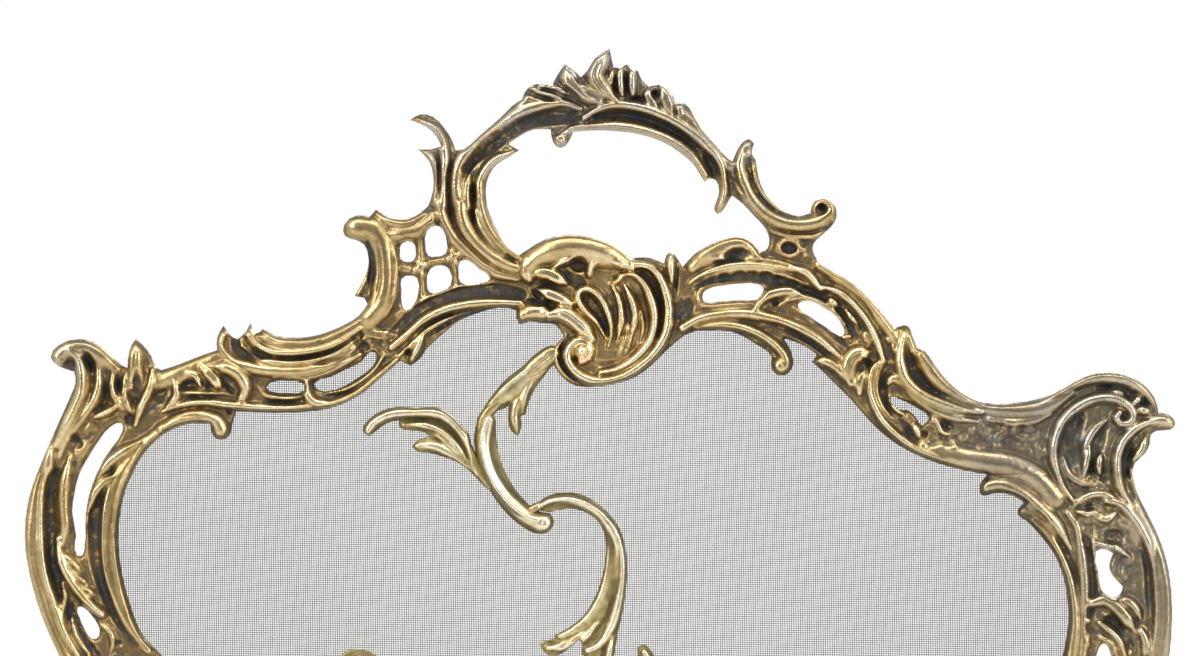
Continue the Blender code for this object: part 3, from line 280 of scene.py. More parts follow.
        roll(5.0, [(-88, 670), (-90.5, 682), (-89.5, 693), (-85, 702), (-76, 709.5), (-64, 719), (-52, 728),
            (-38, 733.5), (-24, 735.5), (-12, 732)], 6, 0.85, 0.9, 0.4),
        roll(3.6, [(-99, 670), (-98.5, 690), (-97.5, 700), (-99.5, 711), (-106, 720), (-118, 725.5)], 6, 0.9, 0.9,
            0.4),
        roll(3.0, [(-104, 672), (-103, 690), (-105.5, 699), (-113, 706)], 4.5, 0.9, 0.8, 0.3),
        groove(1.6, [(-101, 676), (-101, 690), (-101.5, 702)], 3.5),
        groove(1.6, [(-94.5, 670), (-95, 688), (-92, 702)], 3),
        groove(5.6, [(-84, 694), (-77, 703), (-67, 711), (-57, 717.5), (-45, 723.5), (-31, 726), (-17, 726.5)], 5.5,
            0.6, 0.8),
        roll(3.2, [(-78, 680), (-73, 692), (-66, 699.5), (-54, 705)], 6.5, 0.9, 0.7, 0.3),
        roll(3.4, [(-83.5, 670), (-84, 680), (-82, 690)], 6.5, 0.9, 0.9, 0.4),
        roll(3.6, [(-75, 670), (-75.5, 680), (-76, 690)], 6, 0.9, 0.9, 0.4),
        groove(1.8, [(-79.5, 670), (-80, 686)], 4),
        rock(5, [(-80, 700), (-66, 712), (-52, 720), (-38, 725), (-26, 727)], 1.2, 0.5, 0.6),
        roll(2.8, [(-4, 720.5), (-16, 719), (-24, 715.5)], 5.5, 0.9), ball(-25, 711.8, 4.4, 5),
        pit(-25, 712, 1.4, 2.5), groove(2.4, [(-30, 719), (-27.5, 716)], 3),
        roll(5.6, [(47, 731), (56, 724), (66, 713), (75, 703), (82, 696)], 4.5, 0.8, 0.8, 0.7),
        roll(3.8, [(-10, 726), (0, 732), (12, 734.5), (26, 732.5), (42, 726.5), (57, 717.5), (69, 707), (76.5, 696),
            (78.5, 681)], 7, 0.95, 0.6, 0.6),
        groove(2.8, [(-4, 726.5), (10, 728), (25, 726.5), (40, 721), (52, 714), (62, 706)], 3.6, 0.6, 0.5),
        roll(4.4, [(-9, 720), (8, 720.5), (25, 718), (42, 712), (55, 703.5), (62.5, 694), (66, 687.5)], 5.5, 0.85,
            0.6, 0.8),
        groove(2.8, [(65, 705), (70.5, 696), (72, 688)], 4.5),
        roll(3.4, [(78.5, 684), (77, 675), (74.5, 668.5)], 6, 0.9, 0.9, 0.8),
        leaf(5.4, [(0, 736), (-11, 742), (-19, 749), (-22.5, 758.5)], 8.5, 0.9, 0.5, 0.15),
        leaf(6.0, [(10, 737), (1, 745), (-3, 753), (1, 762), (5.5, 769)], 8.5, 0.9, 0.4, 0.15),
        leaf(2.8, [(14, 740), (12.5, 749), (13, 758)], 7.5, 0.9, 0.6, 0.6),
        leaf(2.8, [(21, 740), (20, 748), (20.5, 757)], 7.5, 0.9, 0.6, 0.5),
        leaf(2.6, [(6, 745), (7, 750), (8, 757)], 7), groove(1.3, [(9.7, 740), (9.7, 754)], 3.5),
        groove(1.3, [(16.8, 740), (16.8, 755)], 3.5),
        roll(2.6, [(-19, 741), (-30, 745), (-38, 746.5)], 7.5, 0.9, 0.3, 0.6),
        roll(2.4, [(-43.5, 745), (-36, 741.5), (-25, 738.5)], 7.5),
        leaf(3.0, [(-32, 736.5), (-43, 738.5), (-53, 733)], 7, 0.9, 0.4, 0.4),
        groove(1.5, [(-24, 742), (-35, 744), (-40, 743.5)], 2.5),
        groove(1.5, [(-26, 736.5), (-38, 739), (-46, 741)], 3.0), groove(2.0, [(-12, 737), (-24, 747)], 3.5),
        groove(1.8, [(-2, 738), (-12, 747), (-15, 754)], 3.5),
        roll(1.6, [(-14, 747.5), (-6, 743), (2, 738.5)], 10, 1.0),
        leaf(4.4, [(47, 727), (42.5, 735), (39.5, 745)], 7.5, 0.9, 0.5, 0.5),
        leaf(3.4, [(36, 731), (31, 738), (30, 745)], 7, 0.9),
        leaf(3.4, [(50, 726), (50, 731), (50.5, 735)], 6.5, 0.9), pit(34.5, 741, 3, 4),
        groove(1.4, [(48, 726), (46.5, 734)], 3), groove(2.2, [(17, 737), (24, 738), (28, 735)], 3.5),
    ],
    "shell_cartouche": [
        roll(9.0, [(-45, 633), (-37, 640), (-23, 644.5), (-8, 644), (6, 640), (19, 634)], 7, 0.85, 0.7, 0.45),
        roll(4.6, [(-46, 637), (-47, 629), (-44.5, 625)], 8, 0.9, 0.8, 0.7),
        roll(3.2, [(-29, 632), (-22, 636.5), (-12, 640), (0, 641)], 10.5, 0.9, 0.5, 0.4),
        roll(4.0, [(-6.5, 628), (-5, 634.5), (2, 637.5), (11, 635.5), (21, 631)], 9, 0.9, 0.6, 0.4),
        pit(-14, 634, 5.5, 6), groove(5, [(-28, 627), (-18, 625), (-8, 619)], 3.5),
        leaf(4.4, [(-43, 628), (-33, 628.5), (-21, 622)], 9, 0.8, 0.5, 0.3),
        leaf(4.2, [(-39, 618), (-30, 614.5), (-18, 609)], 9, 0.8, 0.3, 0.5),
        leaf(5.4, [(-32, 602), (-23, 603), (-13, 596), (-5, 587)], 9, 0.8, 0.6, 0.5),
        groove(2.4, [(-44, 620), (-34, 610), (-26, 609.5)], 4), groove(1.6, [(-38, 622.5), (-27, 619)], 3),
        roll(5.6, [(-49, 602), (-42, 604), (-34, 603.5)], 7, 0.85, 0.9, 0.6),
        groove(2.2, [(-46, 611), (-33, 609.5)], 4),
        groove(3.8, [(-9, 613), (-3, 606), (1, 598), (3.5, 588)], 5, 0.9, 0.5),
        roll(2.4, [(4, 587), (-2, 597.5), (-10, 605.5), (-14, 612.5), (-12.5, 617.5), (-7.5, 618.5), (-1.5, 615),
            (3.5, 607), (6.5, 597.5), (7, 589), (5, 582)], 8.5, 1.0, 0.3, 0.3),
        roll(2.2, [(7, 622), (12, 611), (13.5, 600), (11, 586)], 6.5, 0.9, 0.3, 0.3),
        roll(2.4, [(15, 622), (20, 611), (22, 600), (18.5, 586)], 7, 0.9, 0.3, 0.3),
        groove(1.6, [(2, 624), (9, 612), (9.5, 600), (8, 587)], 1.0),
        groove(1.6, [(11, 624), (16, 612), (17.5, 600), (15, 585)], 1.0),
        groove(2.2, [(19, 622), (26, 611), (28, 599), (24, 586)], 1.8),
        groove(2.4, [(-6, 573), (4, 571), (14, 574)], 1.2), roll(1.2, [(17, 579), (20, 590), (20, 600)], 6),
        roll(1.1, [(25, 584), (27, 594), (26, 604)], 6), roll(1.0, [(12, 577), (16, 586), (17.5, 596)], 5.6),
        rock(9, [(6, 616), (14, 600), (14, 582)], 0.5),
        roll(3.0, [(12, 627), (21, 627.5), (28.5, 620.5), (33, 610), (34.5, 600), (33, 590), (28, 581), (20, 573.5),
            (10, 568), (0, 566)], 8.5, 1.0, 0.4, 0.6),
        pit(10, 625.5, 2.4, 3), roll(1.8, [(9, 622), (14, 626)], 9, 0.9),
        groove(2.7, [(26, 629), (33, 621), (38, 610), (39, 599), (36.5, 588), (30, 578)], 5, 0.5, 0.3),
        roll(3.6, [(23, 634), (31, 632.5), (38, 625), (42, 614), (43.5, 603), (41, 590), (34, 578.5), (24, 569.5),
            (12, 562.5), (0, 560.5), (-8, 562), (-15.5, 566.5), (-20, 573.5), (-20, 580), (-15.5, 585.5),
            (-9.5, 585.5), (-6, 580.5), (-7.5, 575.5), (-12, 573.5)], 7.5, 0.9, 0.7, 0.8),
        ball(-11.5, 579.5, 5.2, 10), groove(1.3, [(-14, 570), (-17.5, 576)], 1.5),
        groove(1.9, [(-19, 590), (-24.5, 583), (-25, 574), (-20.5, 565.5), (-12, 559.5)], 3.5),
        roll(2.2, [(-22, 589), (-28, 582), (-28.5, 574), (-24.5, 566), (-17, 560)], 5.5, 0.9),
        roll(3.2, [(45.5, 622), (44.5, 632), (44.5, 640)], 6.5, 0.9, 0.4, 0.5),
        groove(1.2, [(41, 634), (43, 622)], 3), groove(1.4, [(48.5, 636), (47.5, 622), (47, 612)], 3),
        groove(3.6, [(51, 612), (49, 602), (50, 596)], 3),
    ],
    "upper_right_rail": [
        roll(7.4, [(58, 632), (66, 639), (77, 645), (87, 646.5), (95, 643), (99, 638)], 5, 0.8, 0.5, 0.5),
        leaf(2.8, [(66, 641), (75, 642.5), (83, 643)], 9, 0.9, 0.4, 0.3),
        leaf(2.4, [(80, 646), (89, 645.5), (96, 641)], 9),
        leaf(2.6, [(66, 637), (73, 638.5), (79, 637)], 9, 0.9, 0.5, 0.4),
        groove(3.6, [(80, 640), (87, 641.5), (93, 641)], 5, 0.6, 0.6),
        groove(2.2, [(72, 634.5), (80, 635.5), (88, 637.5)], 4),
        roll(1.4, [(91, 637.6), (101, 637), (112, 635.4), (122, 633)], 8, 1.0, 0.3, 0.5),
        roll(2.6, [(56, 622), (63, 627), (73, 631), (85, 633.6), (99, 634), (114, 631.8), (127, 628)], 6.5, 1.0,
            0.4, 0.4),
        groove(1.0, [(92, 635.7), (104, 635.8), (118, 633)], 2.5),
        roll(3.0, [(120, 632.5), (129, 629), (135, 623), (138.5, 618)], 8, 1.0, 0.4, 0.7),
        roll(1.6, [(66, 624.5), (80, 629.5), (95, 630.8), (106, 629.6), (117, 626.6), (127, 622.5), (138, 616.5)],
            6, 1.0),
        *[ball(x, z, 2.3, 5.2, 0.9) for x, z in ((74, 625.5), (82, 627.6), (91, 628.4), (100, 628), (109, 626.6),
            (118, 623.6), (126, 619.8), (147, 611), (155, 605), (161.5, 598), (167, 590.5))],
        pit(88.5, 626.8, 3.4, 3.5), pit(105, 626, 3.6, 3.5), pit(77, 624.8, 3, 3), pit(121, 620.5, 3.4, 3),
        groove(4.6, [(60, 619), (70, 624), (88, 625), (104, 624.5), (120, 620.5), (134, 615), (146, 608),
            (155, 598), (160, 588)], 4.5, 0.4, 0.6),
        groove(4.4, [(56, 612), (54, 604), (56, 601)], 4),
        roll(1.9, [(63.5, 619), (61.5, 613), (64, 608.5), (72, 608), (84, 608.8), (98, 609.6)], 5.5, 1.0),
        bead(1.0, [(70, 621.3), (88, 623.3), (104, 621.5)], 2.0),
        leaf(3.4, [(98, 606), (102, 612.5), (110, 616), (119, 617), (129, 614.5)], 7, 0.9, 0.7, 0.2),
        roll(2.4, [(112, 608), (119, 612), (128, 613), (138, 609.5), (147, 603.5), (154, 596)], 6, 0.9, 0.6, 0.4),
        pit(110, 609.5, 2.4, 3),
        roll(3.8, [(52, 594), (62, 599.5), (76, 602.5), (92, 603), (106, 600.5), (121, 595.5), (135, 588.5),
            (146, 580), (155, 571)], 6, 0.9, 0.8, 0.5),
        roll(1.6, [(122, 607), (134, 601), (146, 594), (153, 588.5), (158, 589)], 6, 0.9),
        groove(1.8, [(100, 598.5), (112, 595.5), (124, 590), (136, 582.5), (146, 574.5)], 3.4, 0.4, 0.6),
        groove(2.0, [(128, 603), (140, 596), (150, 587), (158, 580)], 3),
        roll(3.3, [(60, 594), (73, 595.8), (86, 595), (98, 591), (108.5, 584.5), (115.5, 577), (117, 570.5),
            (113.5, 567.5)], 6.5, 0.9, 0.4, 0.9),
        ball(112.8, 570, 5.0, 6, 0.8), groove(1.2, [(78, 593.8), (92, 590.8), (104, 584.5), (110.5, 577)], 1.2),
        roll(3.6, [(134, 573), (141, 573), (149, 568.5), (156, 559.5)], 6, 0.9, 0.4, 0.5),
        groove(1.4, [(140, 570), (147, 565.5), (153, 558)], 2),
        roll(6.4, [(139, 634), (150, 628), (161, 620), (171, 609), (180, 597), (186, 586)], 4.5, 0.85, 0.7, 0.6),
        roll(3.2, [(139, 620), (150, 616.5), (160, 607.5), (168, 597), (174, 585), (178, 573)], 8, 0.95, 0.5, 0.7),
        groove(1.0, [(158, 617), (167, 607.5), (172, 599)], 1.4), roll(2.6, [(144, 612), (149, 608.5)], 6),
        roll(2.6, [(156, 603.5), (161, 598)], 6), roll(2.6, [(166, 591), (169, 584)], 6),
        groove(1.8, [(147, 613.5), (157, 606.5), (164, 597.5), (169, 588)], 2.6),
        leaf(5.6, [(158, 560), (156, 569), (160, 576.5), (171, 579.5)], 6.5, 0.9, 0.7, 0.15),
        leaf(3.2, [(163, 553), (163.5, 561), (167, 568)], 6.5, 0.9),
        groove(2.4, [(165, 575), (170, 570), (169, 560)], 4), roll(2.0, [(180, 587), (184, 583), (186, 577)], 6),
        pit(182, 584, 2, 2), roll(2, [(184, 590), (189, 592), (193, 591)], 5),
        # open scroll and neck
        roll(5.2, [(93, 709), (89, 703), (87.5, 694), (91, 683), (98, 671.5), (107, 663.5), (118, 659.5),
            (130, 659), (140, 662), (146, 668)], 5.5, 0.95, 0.5, 0.8),
        roll(3.2, [(141, 673.5), (146, 669.5), (146, 663)], 6.5, 0.9, 0.8, 0.8),
        roll(2.6, [(145, 672), (140, 674.5), (135, 671), (134.5, 667)], 7, 0.9), pit(139, 669, 3.4, 5.5),
        ball(138.4, 667.5, 1.8, 4),
        roll(2.2, [(97.5, 698), (98, 688), (102, 679), (109, 671.5), (117, 667), (127, 664.5)], 5, 0.9, 0.4, 0.4),
        groove(1.4, [(94.5, 700), (94.5, 688), (99, 678), (107, 669.5), (118, 664), (131, 663)], 3, 0.6, 0.4),
        roll(3.0, [(95, 708), (92, 702)], 5), pit(92, 706, 2.4, 3),
        roll(2.4, [(84, 690), (88, 681), (94, 673), (100.5, 664), (106, 657)], 6, 0.8),
        groove(1.3, [(84.5, 697), (86, 686), (92, 675.5)], 3),
        roll(2.0, [(103, 657), (112, 653.5), (122, 651.5), (134, 651.5), (142, 655)], 6.5, 0.9),
        groove(1.1, [(107, 656.5), (120, 653.8), (134, 653.8)], 1.6),
        roll(2.2, [(113, 644), (115, 648), (120, 649), (124, 646.5), (124, 642), (119, 639.5), (114.5, 641),
            (113, 644)], 6, 0.7),
        ("groove", 4.2, 0, 4.5, (0.9, 0.9), [(117, 644.5), (121, 644)]), ball(128, 643, 2.0, 6),
        ball(129, 639.5, 1.7, 6),
        # shoulder
        roll(2.8, [(177, 573), (171.5, 569), (169.5, 560), (170.5, 550), (176, 538), (184, 529), (194, 521),
            (206, 515), (220, 510.5), (236, 508)], 7, 0.9, 0.7, 0.4),
        roll(2.0, [(186, 571.5), (180, 572.5), (175, 567), (174, 556), (177, 546), (184, 536)], 6, 0.8, 0.5, 0.3),
        groove(3.2, [(181, 567), (178, 556), (181, 546), (188, 538)], 4),
        roll(3.0, [(181, 559), (184, 562.5), (189, 559)], 6.5, 0.9),
        roll(2.0, [(182, 551), (186, 543.5), (191, 539.5)], 6, 1.0), roll(3.4, [(198, 532), (200, 526)], 5.5, 0.9),
        groove(3.0, [(188, 536), (194, 530), (198, 522)], 2.5), pit(204, 527, 2.6, 3),
        roll(2.8, [(203, 536), (212, 536), (214, 529)], 5.5, 0.7),
        roll(4.2, [(191, 590), (188.5, 578), (189, 570), (192.5, 561), (201, 553), (213, 547), (226, 543),
            (240, 541)], 7, 0.9, 0.6, 0.4),
        roll(3.2, [(186, 560), (195, 553), (203, 546.5), (213, 541), (226, 537), (238, 535)], 6, 0.8, 0.3, 0.4),
        groove(3.4, [(195, 579), (197, 568), (203, 560), (213, 554), (222, 551)], 4.5, 0.7, 0.4),
        roll(3.8, [(193, 592), (196, 585), (198, 577)], 5, 0.8, 0.6, 0.3),
        roll(5.6, [(202, 577), (207, 569), (215, 560), (226, 552.5), (240, 547)], 4.5, 0.85, 0.6, 0.7),
        groove(2.6, [(212, 537), (217, 533), (223, 531)], 3.2),
        roll(1.4, [(213, 535), (214, 529), (219, 527)], 6, 1.0),
        roll(7.4, [(202, 519), (220, 513.5), (238, 510), (254, 508), (266, 504), (277, 497), (286, 487)], 4.5, 0.75,
            0.5, 0.9),
        roll(5.2, [(238, 544), (254, 542), (270, 542), (284, 546), (296, 553)], 4.8, 0.7, 0.6, 0.6),
        roll(3.4, [(244, 537), (258, 535), (272, 536), (283, 540)], 5.5, 0.8),
        rock(11, [(226, 524), (242, 526), (258, 527), (274, 524), (284, 514)], 1.3, 0.6, 0.8),
        rock(6, [(186, 538), (194, 531), (206, 524), (222, 521)], 1.2),
        rock(7, [(292, 500), (302, 492), (304, 478)], 1.1), rock(7, [(318, 556), (330, 553), (340, 546)], 0.9),
        rock(6, [(300, 520), (308, 508), (314, 498)], 1.0),
        # corner scroll
        groove(6.4, [(301, 537), (296, 524), (298, 510)], 4, 0.8, 0.6),
        groove(7, [(318, 532), (311, 522), (311, 508), (318, 498)], 4.5),
        groove(5, [(334, 521), (331, 510), (336, 497)], 4),
        groove(4.6, [(314, 556), (328, 556.5), (338, 551), (343, 545)], 4.5, 0.5, 0.7),
        roll(4.6, [(279, 548), (292, 556), (305, 562), (319, 563.5), (332, 561.5), (342, 555), (348, 547),
            (350, 541)], 4.5, 0.8, 0.7, 0.4),
        roll(3.8, [(297, 486), (291, 494), (287, 504), (285, 514), (286, 525), (291, 536), (300, 544.5),
            (311, 549.5), (322, 550), (331, 546), (335, 540), (333, 534.5), (327, 534), (324, 538), (326.5, 541)],
            8, 0.9, 0.5, 0.7),
        groove(1.2, [(298, 541), (292, 532), (288.5, 519), (290, 505)], 1.4),
        roll(3.4, [(350, 535.5), (342, 534), (334, 529), (328, 522), (325, 513), (325, 502), (328, 491),
            (335, 481)], 8, 0.9, 0.6, 0.5),
        roll(4.2, [(347, 536), (356, 535.5), (359.5, 533)], 6, 0.8, 0.8, 0.6),
        leaf(2.6, [(304, 501), (306, 511), (308, 520)], 6.5, 1.0, 0.6, 0.4),
        leaf(2.6, [(314, 503), (313.5, 509), (315, 516)], 6.5, 1.0),
        roll(2.8, [(318, 536), (311, 530), (306, 521), (304, 513)], 5.5, 0.7),
        roll(2.8, [(291, 512), (294, 503), (301, 497.5), (311, 495)], 5.5, 0.7),
        roll(2.8, [(343, 525), (340, 517), (335, 511)], 5.5, 1.0, 0.5, 0.5),
        roll(2.0, [(334, 505), (336, 497), (339, 489)], 5.5, 1.0), leaf(2.6, [(336, 547), (340, 551)], 7),
        leaf(2.6, [(330, 552.5), (320, 554)], 6, 0.9, 0.3, 0.5), roll(3.0, [(345, 541), (339, 543)], 6, 0.8),
    ],
    "right_stile": [
        roll(5.2, [(242, 494), (252, 495.5), (264, 490.5), (276, 480.5), (288, 468), (296, 455)], 6.5, 0.7, 0.8,
            0.3),
        groove(1.3, [(250, 492), (262, 489), (274, 479.5), (286, 466)], 1.6),
        groove(2.6, [(268, 479), (276, 475), (283, 467)], 4),
        roll(1.6, [(264, 479), (272, 477), (280, 471), (286, 463)], 6, 0.9, 0.4, 0.3),
        roll(5.4, [(272, 473), (282, 464), (289.5, 451), (294.5, 438), (297.5, 423), (298.3, 405), (296.5, 388),
            (293, 370), (292, 350), (291, 325), (288, 300), (286, 275), (288, 250), (293, 228), (302, 212)], 5.5,
            0.6, 0.4, 0.9),
        groove(1.6, [(284, 470), (291, 457), (297, 444), (301, 428), (302.5, 408), (301, 390), (297, 370)], 3.2,
            0.6, 0.6),
        roll(3.8, [(294, 478), (300, 468), (303, 452), (304.5, 436), (305, 420), (304.5, 400), (302, 380),
            (299, 360)], 5.5, 0.8),
        groove(3.2, [(305, 462), (309, 447), (310.5, 430), (308, 415), (306, 400)], 4.2, 0.5, 0.5),
        bead(1.3, [(309.5, 470), (310.5, 455), (312.8, 440), (315, 429)], 2.8),
        roll(2.8, [(297, 481), (302, 486), (310, 489.5), (319, 489), (326, 486)], 6.5, 0.9, 0.4, 0.5),
        pit(308, 481, 3.4, 3.5), roll(2.2, [(300, 479), (306, 477), (312, 479)], 6, 0.9),
        roll(4.0, [(318, 485), (326, 484), (333, 478), (340, 468), (345, 457), (348, 443)], 7.5, 0.9, 0.5, 0.5),
        roll(3.0, [(311, 477), (318, 474), (324, 478)], 6, 0.7), pit(318, 482, 2.4, 2),
        roll(6.2, [(337, 483), (345, 467), (351, 450), (354.5, 433), (355.5, 415), (354, 396), (350, 377),
            (343, 358), (334, 340)], 4.5, 0.85, 0.5, 0.6),
        roll(2.4, [(345, 455), (348.5, 440), (350, 422), (349.5, 404), (347, 388), (342, 372)], 7.5, 0.9),
        groove(2.2, [(340, 462), (343.5, 448), (345, 432), (344.5, 415)], 2.4),
        groove(5, [(319, 464), (327, 462)], 5),
        roll(2.4, [(311, 459), (318, 457), (326, 455), (333, 450)], 6.5, 0.9), pit(323, 456, 2, 2.5),
        roll(3.8, [(337, 458), (335, 468), (326, 473)], 5, 0.6), rock(7, [(328, 450), (330, 441), (332, 433)], 1.4),
        rock(6, [(302, 480), (305, 466), (307, 452)], 1.3, 0.6, 0.5),
        rock(5, [(306, 414), (309, 402), (311, 392)], 1.3), rock(7, [(316, 474), (324, 468), (330, 458)], 1.0),
        roll(1.8, [(321.5, 446), (321.5, 440), (326, 434), (330, 429)], 5.5, 0.9),
        leaf(4.4, [(309, 421), (318, 423), (326, 417), (332, 410), (337, 402)], 7, 0.9, 0.7, 0.2),
        leaf(3.6, [(326, 424.5), (334, 420), (340, 411)], 6.5, 0.9, 0.4, 0.3),
        groove(1.4, [(329, 421.5), (336, 413), (338, 405)], 2),
        groove(3.6, [(317, 413), (323, 407), (329, 401)], 4.5), ball(318, 414, 1.8, 6), ball(307, 410, 2, 6),
        roll(2.6, [(313.5, 409), (319, 405), (326, 398), (330, 388)], 7, 0.9),
        roll(2.6, [(314, 400), (320, 396), (325, 388)], 6, 0.9),
        leaf(3.0, [(340, 404), (343, 396), (342, 386)], 6.5, 0.9), groove(1.6, [(333, 400), (335, 390)], 3),
        pit(309, 404, 2.2, 2.5), pit(311, 396, 2, 2.5),
        roll(4.0, [(330, 352), (322, 330), (319.5, 312), (320, 292), (324, 270), (331, 250), (334, 230),
            (326, 206)], 6, 0.9, 0.3, 0.9),
        leaf(4.4, [(330, 384), (334, 368), (330, 352), (322, 340)], 7, 0.9, 0.3, 0.3),
        leaf(3.8, [(306, 372), (303, 360), (306, 345)], 7, 0.9),
        groove(2.4, [(300, 340), (305, 320), (303, 300)], 3),
        groove(3, [(300, 268), (302, 250), (306, 232), (312, 215)], 3.5),
        leaf(4.6, [(297, 286), (303, 266), (313, 248), (318, 228), (314, 210)], 6.5, 0.8, 0.3, 0.5),
    ],
    "ornament_frond": [
        roll(6.6, [(-33, 573), (-44, 566), (-56, 556), (-68, 545)], 3.2, 0.45, 0.9, 0.6),
        roll(2.6, [(-40, 566), (-47, 553), (-49, 541)], 3.6, 0.8, 0.4, 0.6),
        roll(3, [(-50, 552), (-54, 540), (-52, 528)], 3.6, 0.7, 0.5, 0.5),
        bead(1.0, [(-38, 573), (-52, 563.5), (-63, 554), (-70, 546)], 1.3),
        groove(1.4, [(-42, 556), (-46, 548)], 1), groove(2.0, [(-56, 548), (-60, 545), (-64, 546)], 1.0),
    ],
    "ornament_leaf": [
        roll(4.0, [(-146.5, 528), (-142, 535), (-132, 539.5), (-120, 541), (-106, 541), (-96, 538), (-87, 529),
            (-81, 518), (-77, 503)], 4, 0.9, 0.9, 0.6),
        groove(1.4, [(-136, 536), (-120, 537), (-104, 536), (-92, 528), (-85, 516), (-80, 505)], 2.2),
        roll(2.6, [(-124, 533), (-110, 532.5), (-98, 527), (-89, 518), (-82, 508)], 3.4, 0.9, 0.4, 0.3),
        roll(3.4, [(-116, 520), (-104, 519.5), (-93, 514), (-84, 508), (-77, 500)], 3, 0.8, 0.6, 0.3),
        groove(1.6, [(-106, 525), (-97, 521.5), (-88, 513), (-81, 505)], 2.0),
        roll(1.8, [(-104, 528), (-94, 520), (-86, 511)], 4, 0.9),
        groove(1.2, [(-112, 530), (-101, 527), (-92, 519)], 1.6),
    ],
    "ornament_s_stem": [
        roll(5.4, [(-70, 536), (-72.5, 524), (-71, 510), (-65.5, 497), (-58, 486.5), (-48, 477), (-37, 470.5)], 3.4,
            0.85, 0.9, 1.0),
        bead(1.6, [(-70, 538), (-74, 528), (-74, 515), (-69, 500), (-61, 488), (-51, 478.5), (-40, 473.5),
            (-35, 477)], 1.8),
        groove(1.8, [(-67, 534), (-68, 520), (-64.5, 506), (-57, 493.5), (-47, 483), (-41, 478)], 1.8),
        ball(-35, 471, 5.6, 4.5, 0.7), groove(1.2, [(-44, 478), (-38, 478), (-34, 480)], 2),
        ball(-69, 536, 4, 5, 0.7),
    ],
    "ornament_c_stem": [
        roll(4.4, [(-40, 481), (-31, 485.5), (-18, 486), (-5, 481), (4, 472.5), (9, 465), (13, 455), (14.2, 444),
            (13.5, 430), (10.5, 415), (6, 404), (0, 395), (-8, 391)], 3.8, 0.85, 0.5, 0.5),
        bead(1.0, [(-38, 482), (-24, 486.5), (-8, 483.5), (4, 474)], 1.2),
        roll(5.0, [(5, 466), (7, 455), (6.5, 442), (4, 430), (-1.5, 419), (-11, 408), (-24, 401)], 3, 0.45, 0.4,
            0.7),
        groove(3.4, [(5.5, 466), (7.5, 452), (7, 438), (4, 425), (-3, 413), (-14, 405)], 1.2),
        groove(1.1, [(10.5, 464), (11.5, 450), (11.2, 438), (8.5, 424), (3.5, 411), (-4, 401)], 2.2),
        roll(3.4, [(-2, 408), (-10, 400), (-20, 394.5), (-33, 392.5)], 4, 0.7, 0.4, 0.5),
        groove(0.9, [(-4, 409), (-12, 400), (-20, 396), (-30, 390)], 1.5),
        groove(1.2, [(-28, 396.5), (-34, 396)], 1.5), roll(2.8, [(8, 400), (5, 385), (0, 370)], 3.6, 0.8, 0.4, 0.5),
        groove(1.6, [(3, 395), (1, 385), (-3, 374)], 1.5),
    ],
    "ornament_spray": [
        roll(4.4, [(-3, 355), (-18, 335), (-45, 320.5), (-80, 316), (-113, 321), (-139, 334.5), (-156, 355),
            (-160, 373), (-152, 386), (-142, 380)], 3.6, 0.9, 0.5, 0.6),
        groove(1.3, [(-14, 338), (-45, 323.5), (-80, 319.5), (-112, 324.5), (-136, 338)], 1.6),
        leaf(4.4, [(2, 340), (-6, 325), (-20, 309)], 4, 0.9, 0.5, 0.2),
        leaf(4, [(8, 345), (4, 326), (-4, 312)], 4, 0.8, 0.4, 0.3),
        roll(4.6, [(5, 352), (20, 350), (32, 362), (33, 378), (28, 390)], 3.6, 0.8, 0.6, 0.5),
        groove(1.3, [(10, 350), (22, 354), (30, 366), (30, 380)], 1.4),
    ],
}


def both(strokes):
    """Those strokes and their mirror images."""
    flipped = [(k, w, z, g, ends, [(-x, y) for x, y in line]) for k, w, z, g, ends, line in strokes]
    return strokes + flipped


RELIEF["bottom_rail"] = both([
    roll(3.4, [(-292, 204), (-267, 180.5), (-238, 166), (-203, 156), (-162, 148.5), (-120, 146.5), (-82, 149.5),
               (-54, 157.5), (-34, 167.5), (0, 173)], 6, 0.85, 0.9, 1),
    roll(4.6, [(-330, 190), (-320, 173), (-300, 161), (-272, 150), (-240, 141.5), (-200, 133), (-160, 125),
               (-120, 118), (-85, 115), (-58, 111), (-34, 101), (-14, 90)], 5, 0.85, 0.8, 0.7),
    groove(3.6, [(-300, 188), (-280, 170), (-255, 158), (-225, 151), (-205, 149)], 3, 0.4, 0.3),
    leaf(5.6, [(-300, 180), (-285, 168), (-262, 158), (-240, 152)], 6, 0.8, 0.3, 0.2),
    leaf(4.6, [(-150, 133), (-130, 132), (-108, 133), (-90, 138)], 6, 0.9, 0.3, 0.2),
    leaf(4.6, [(-60, 142), (-82, 138), (-104, 138), (-124, 142)], 6, 0.9, 0.4, 0.2),
    groove(2.6, [(-140, 138), (-118, 137), (-96, 136)], 3),
    roll(3, [(-150, 132), (-162, 134), (-176, 140), (-200, 146)], 5, 0.8),
    leaf(6.5, [(0, 120), (-16, 128), (-30, 142), (-40, 160)], 7, 0.9, 0.6, 0.15),
    leaf(6.0, [(0, 112), (-20, 114), (-38, 122), (-52, 138)], 7, 0.9, 0.6, 0.15),
    leaf(5.0, [(0, 104), (-20, 102), (-42, 108), (-64, 122)], 6.5, 0.9, 0.6, 0.15),
    groove(2.4, [(-6, 118), (-24, 128), (-40, 148)], 3.5), groove(2.4, [(-6, 108), (-28, 111), (-48, 124)], 3.5),
]) + [
    leaf(7.5, [(0, 112), (0, 134), (0, 156), (0, 174)], 8, 0.9, 0.7, 0.2), ball(0, 110, 10, 8, 0.8),
    ball(0, 110, 5, 13, 0.8), roll(4.5, [(-20, 92), (0, 89), (20, 92)], 6, 0.9, 0.5, 0.5),
]
